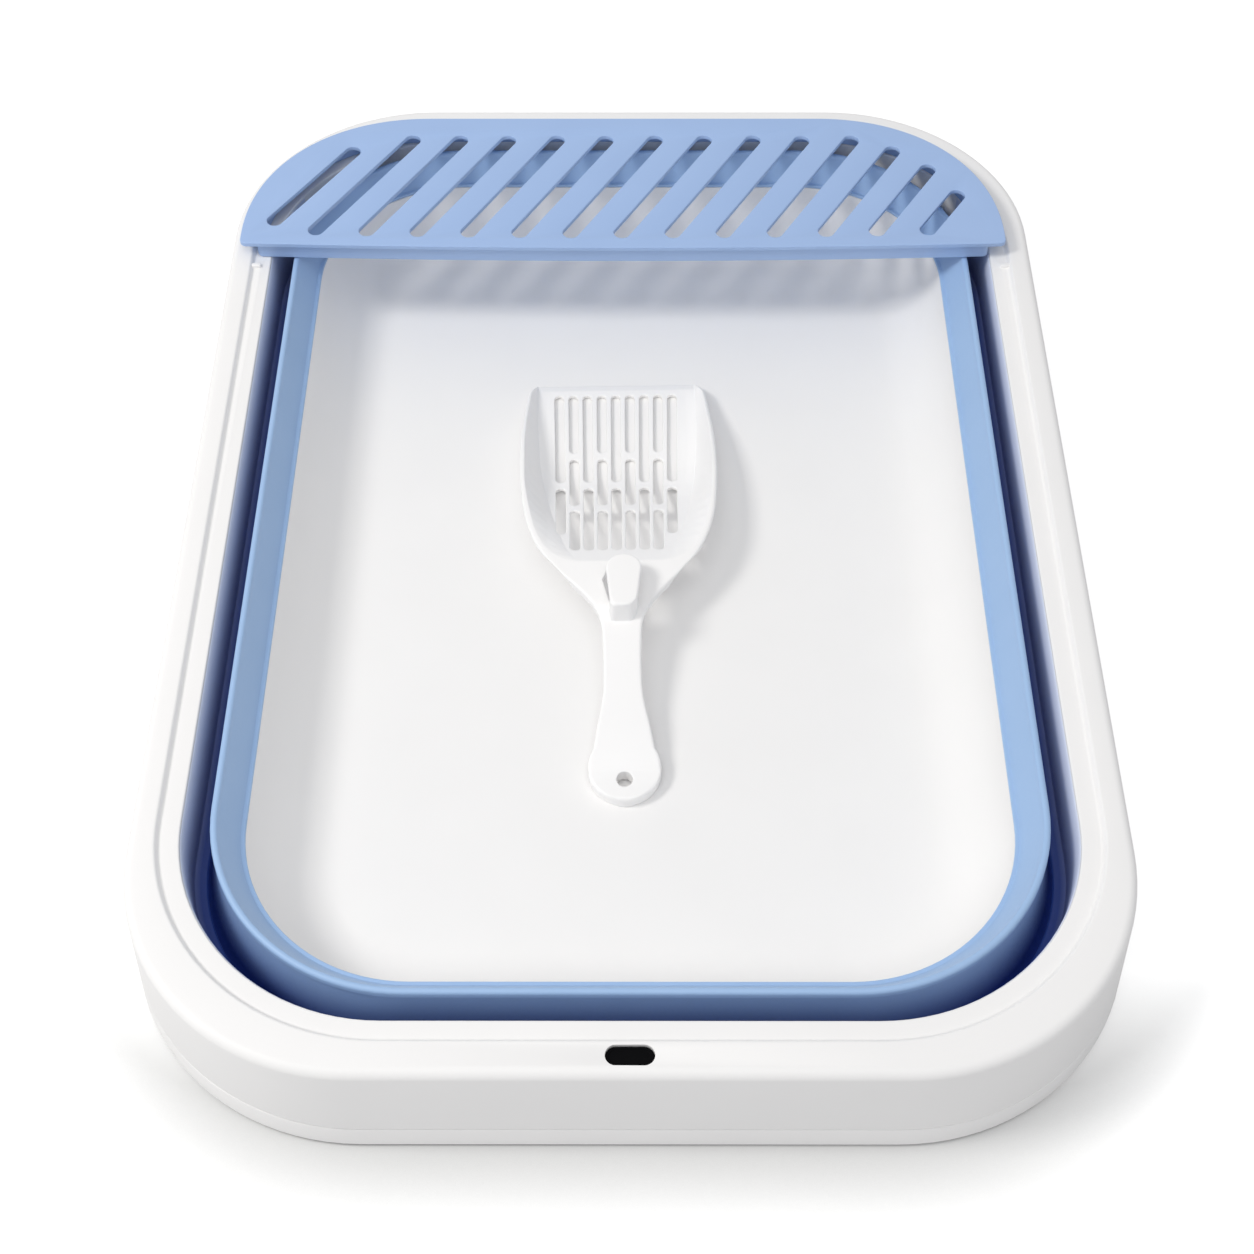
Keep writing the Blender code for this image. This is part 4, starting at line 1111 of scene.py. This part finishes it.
# %% Hook and tail plate
HOOK_X = -3.0 * MM
HOOK_Y = -24.6 * MM
HOOK_RADIUS = 8 * MM
HOOK_RUN = 15.2 * MM
HOOK_TAPER = 0.79
HOOK_UNDER = 35.6 * MM
HOOK_TOP = 39.6 * MM
POST_FOOT = 27 * MM
POST_TOP = HOOK_TOP - MM
TAIL_PLATE = (-2.4 * MM, -113.7 * MM, 9.1 * MM)
TAIL_RADIUS = 15.9 * MM
TAIL_HEIGHT = 6.4 * MM
TAIL_TILT = math.radians(9)
HAND_EDGE_MM = 0.9



arm = cylinder(
    "hook_arm", 64, HOOK_RADIUS, HOOK_TOP - HOOK_UNDER,
    (HOOK_X, HOOK_Y, (HOOK_UNDER + HOOK_TOP) / 2),
)
bpy.ops.object.mode_set(mode="EDIT")
select_where(lambda place: place.y < HOOK_Y - HAIR)
bpy.ops.transform.resize(
    value=(HOOK_TAPER, HOOK_TAPER, 1), center_override=(HOOK_X, HOOK_Y, HOOK_UNDER)
)
bpy.ops.transform.translate(value=(0, -HOOK_RUN, 0))
leave_edit()
soften(arm, HAND_EDGE_MM, 4)
post = cylinder(
    "hook_post", 64, HOOK_RADIUS * HOOK_TAPER, POST_TOP - POST_FOOT,
    (HOOK_X, HOOK_Y - HOOK_RUN, (POST_TOP + POST_FOOT) / 2),
)
plate = cylinder("tail_plate", 96, TAIL_RADIUS, TAIL_HEIGHT, TAIL_PLATE, TAIL_TILT)
soften(plate, HAND_EDGE_MM, 4)
print("hook arm:", len(arm.data.polygons), "faces, tail plate:", len(plate.data.polygons), "faces")

# %% [markdown]
# ## The scoop as one moulding
#
# Hook, post and plate are joined to the blank, and the eye is cut. Bevels would break up on the
# many short edges round the slots, so the whole is turned into a fine even net by a voxel remesh
# and smoothed, which rounds every edge by the same small amount, as polishing does. The net is
# then thinned to a fifth of its faces, mostly where it is flat.

# %% Scoop finish
NET = 0.32 * MM
THINNED = 0.2
EYE_X = -2.4 * MM
EYE_Y = -119.5 * MM
EYE_WIDTH = 7 * MM
EYE_HEIGHT = 20 * MM
for add_on in (arm, post, plate):
    cut_with(scoop, add_on, "UNION")
eye = capsule("eye", (EYE_X, EYE_Y), (EYE_X + HAIR, EYE_Y), EYE_WIDTH, 0, EYE_HEIGHT)
cut_with(scoop, eye)
for kind, settings in (
    ("REMESH", {"mode": "VOXEL", "voxel_size": NET}),
    ("SMOOTH", {"factor": 0.5, "iterations": 2}),
    ("DECIMATE", {"ratio": THINNED}),
):
    change = scoop.modifiers.new(kind.title(), kind)
    for name, value in settings.items():
        setattr(change, name, value)
    bpy.ops.object.modifier_apply(modifier=change.name)
    print("after", kind.lower(), len(scoop.data.polygons), "faces")
bpy.ops.object.shade_smooth()
dress(scoop, smooth_painted_light_plastic, "scoop", "litter_scoop")
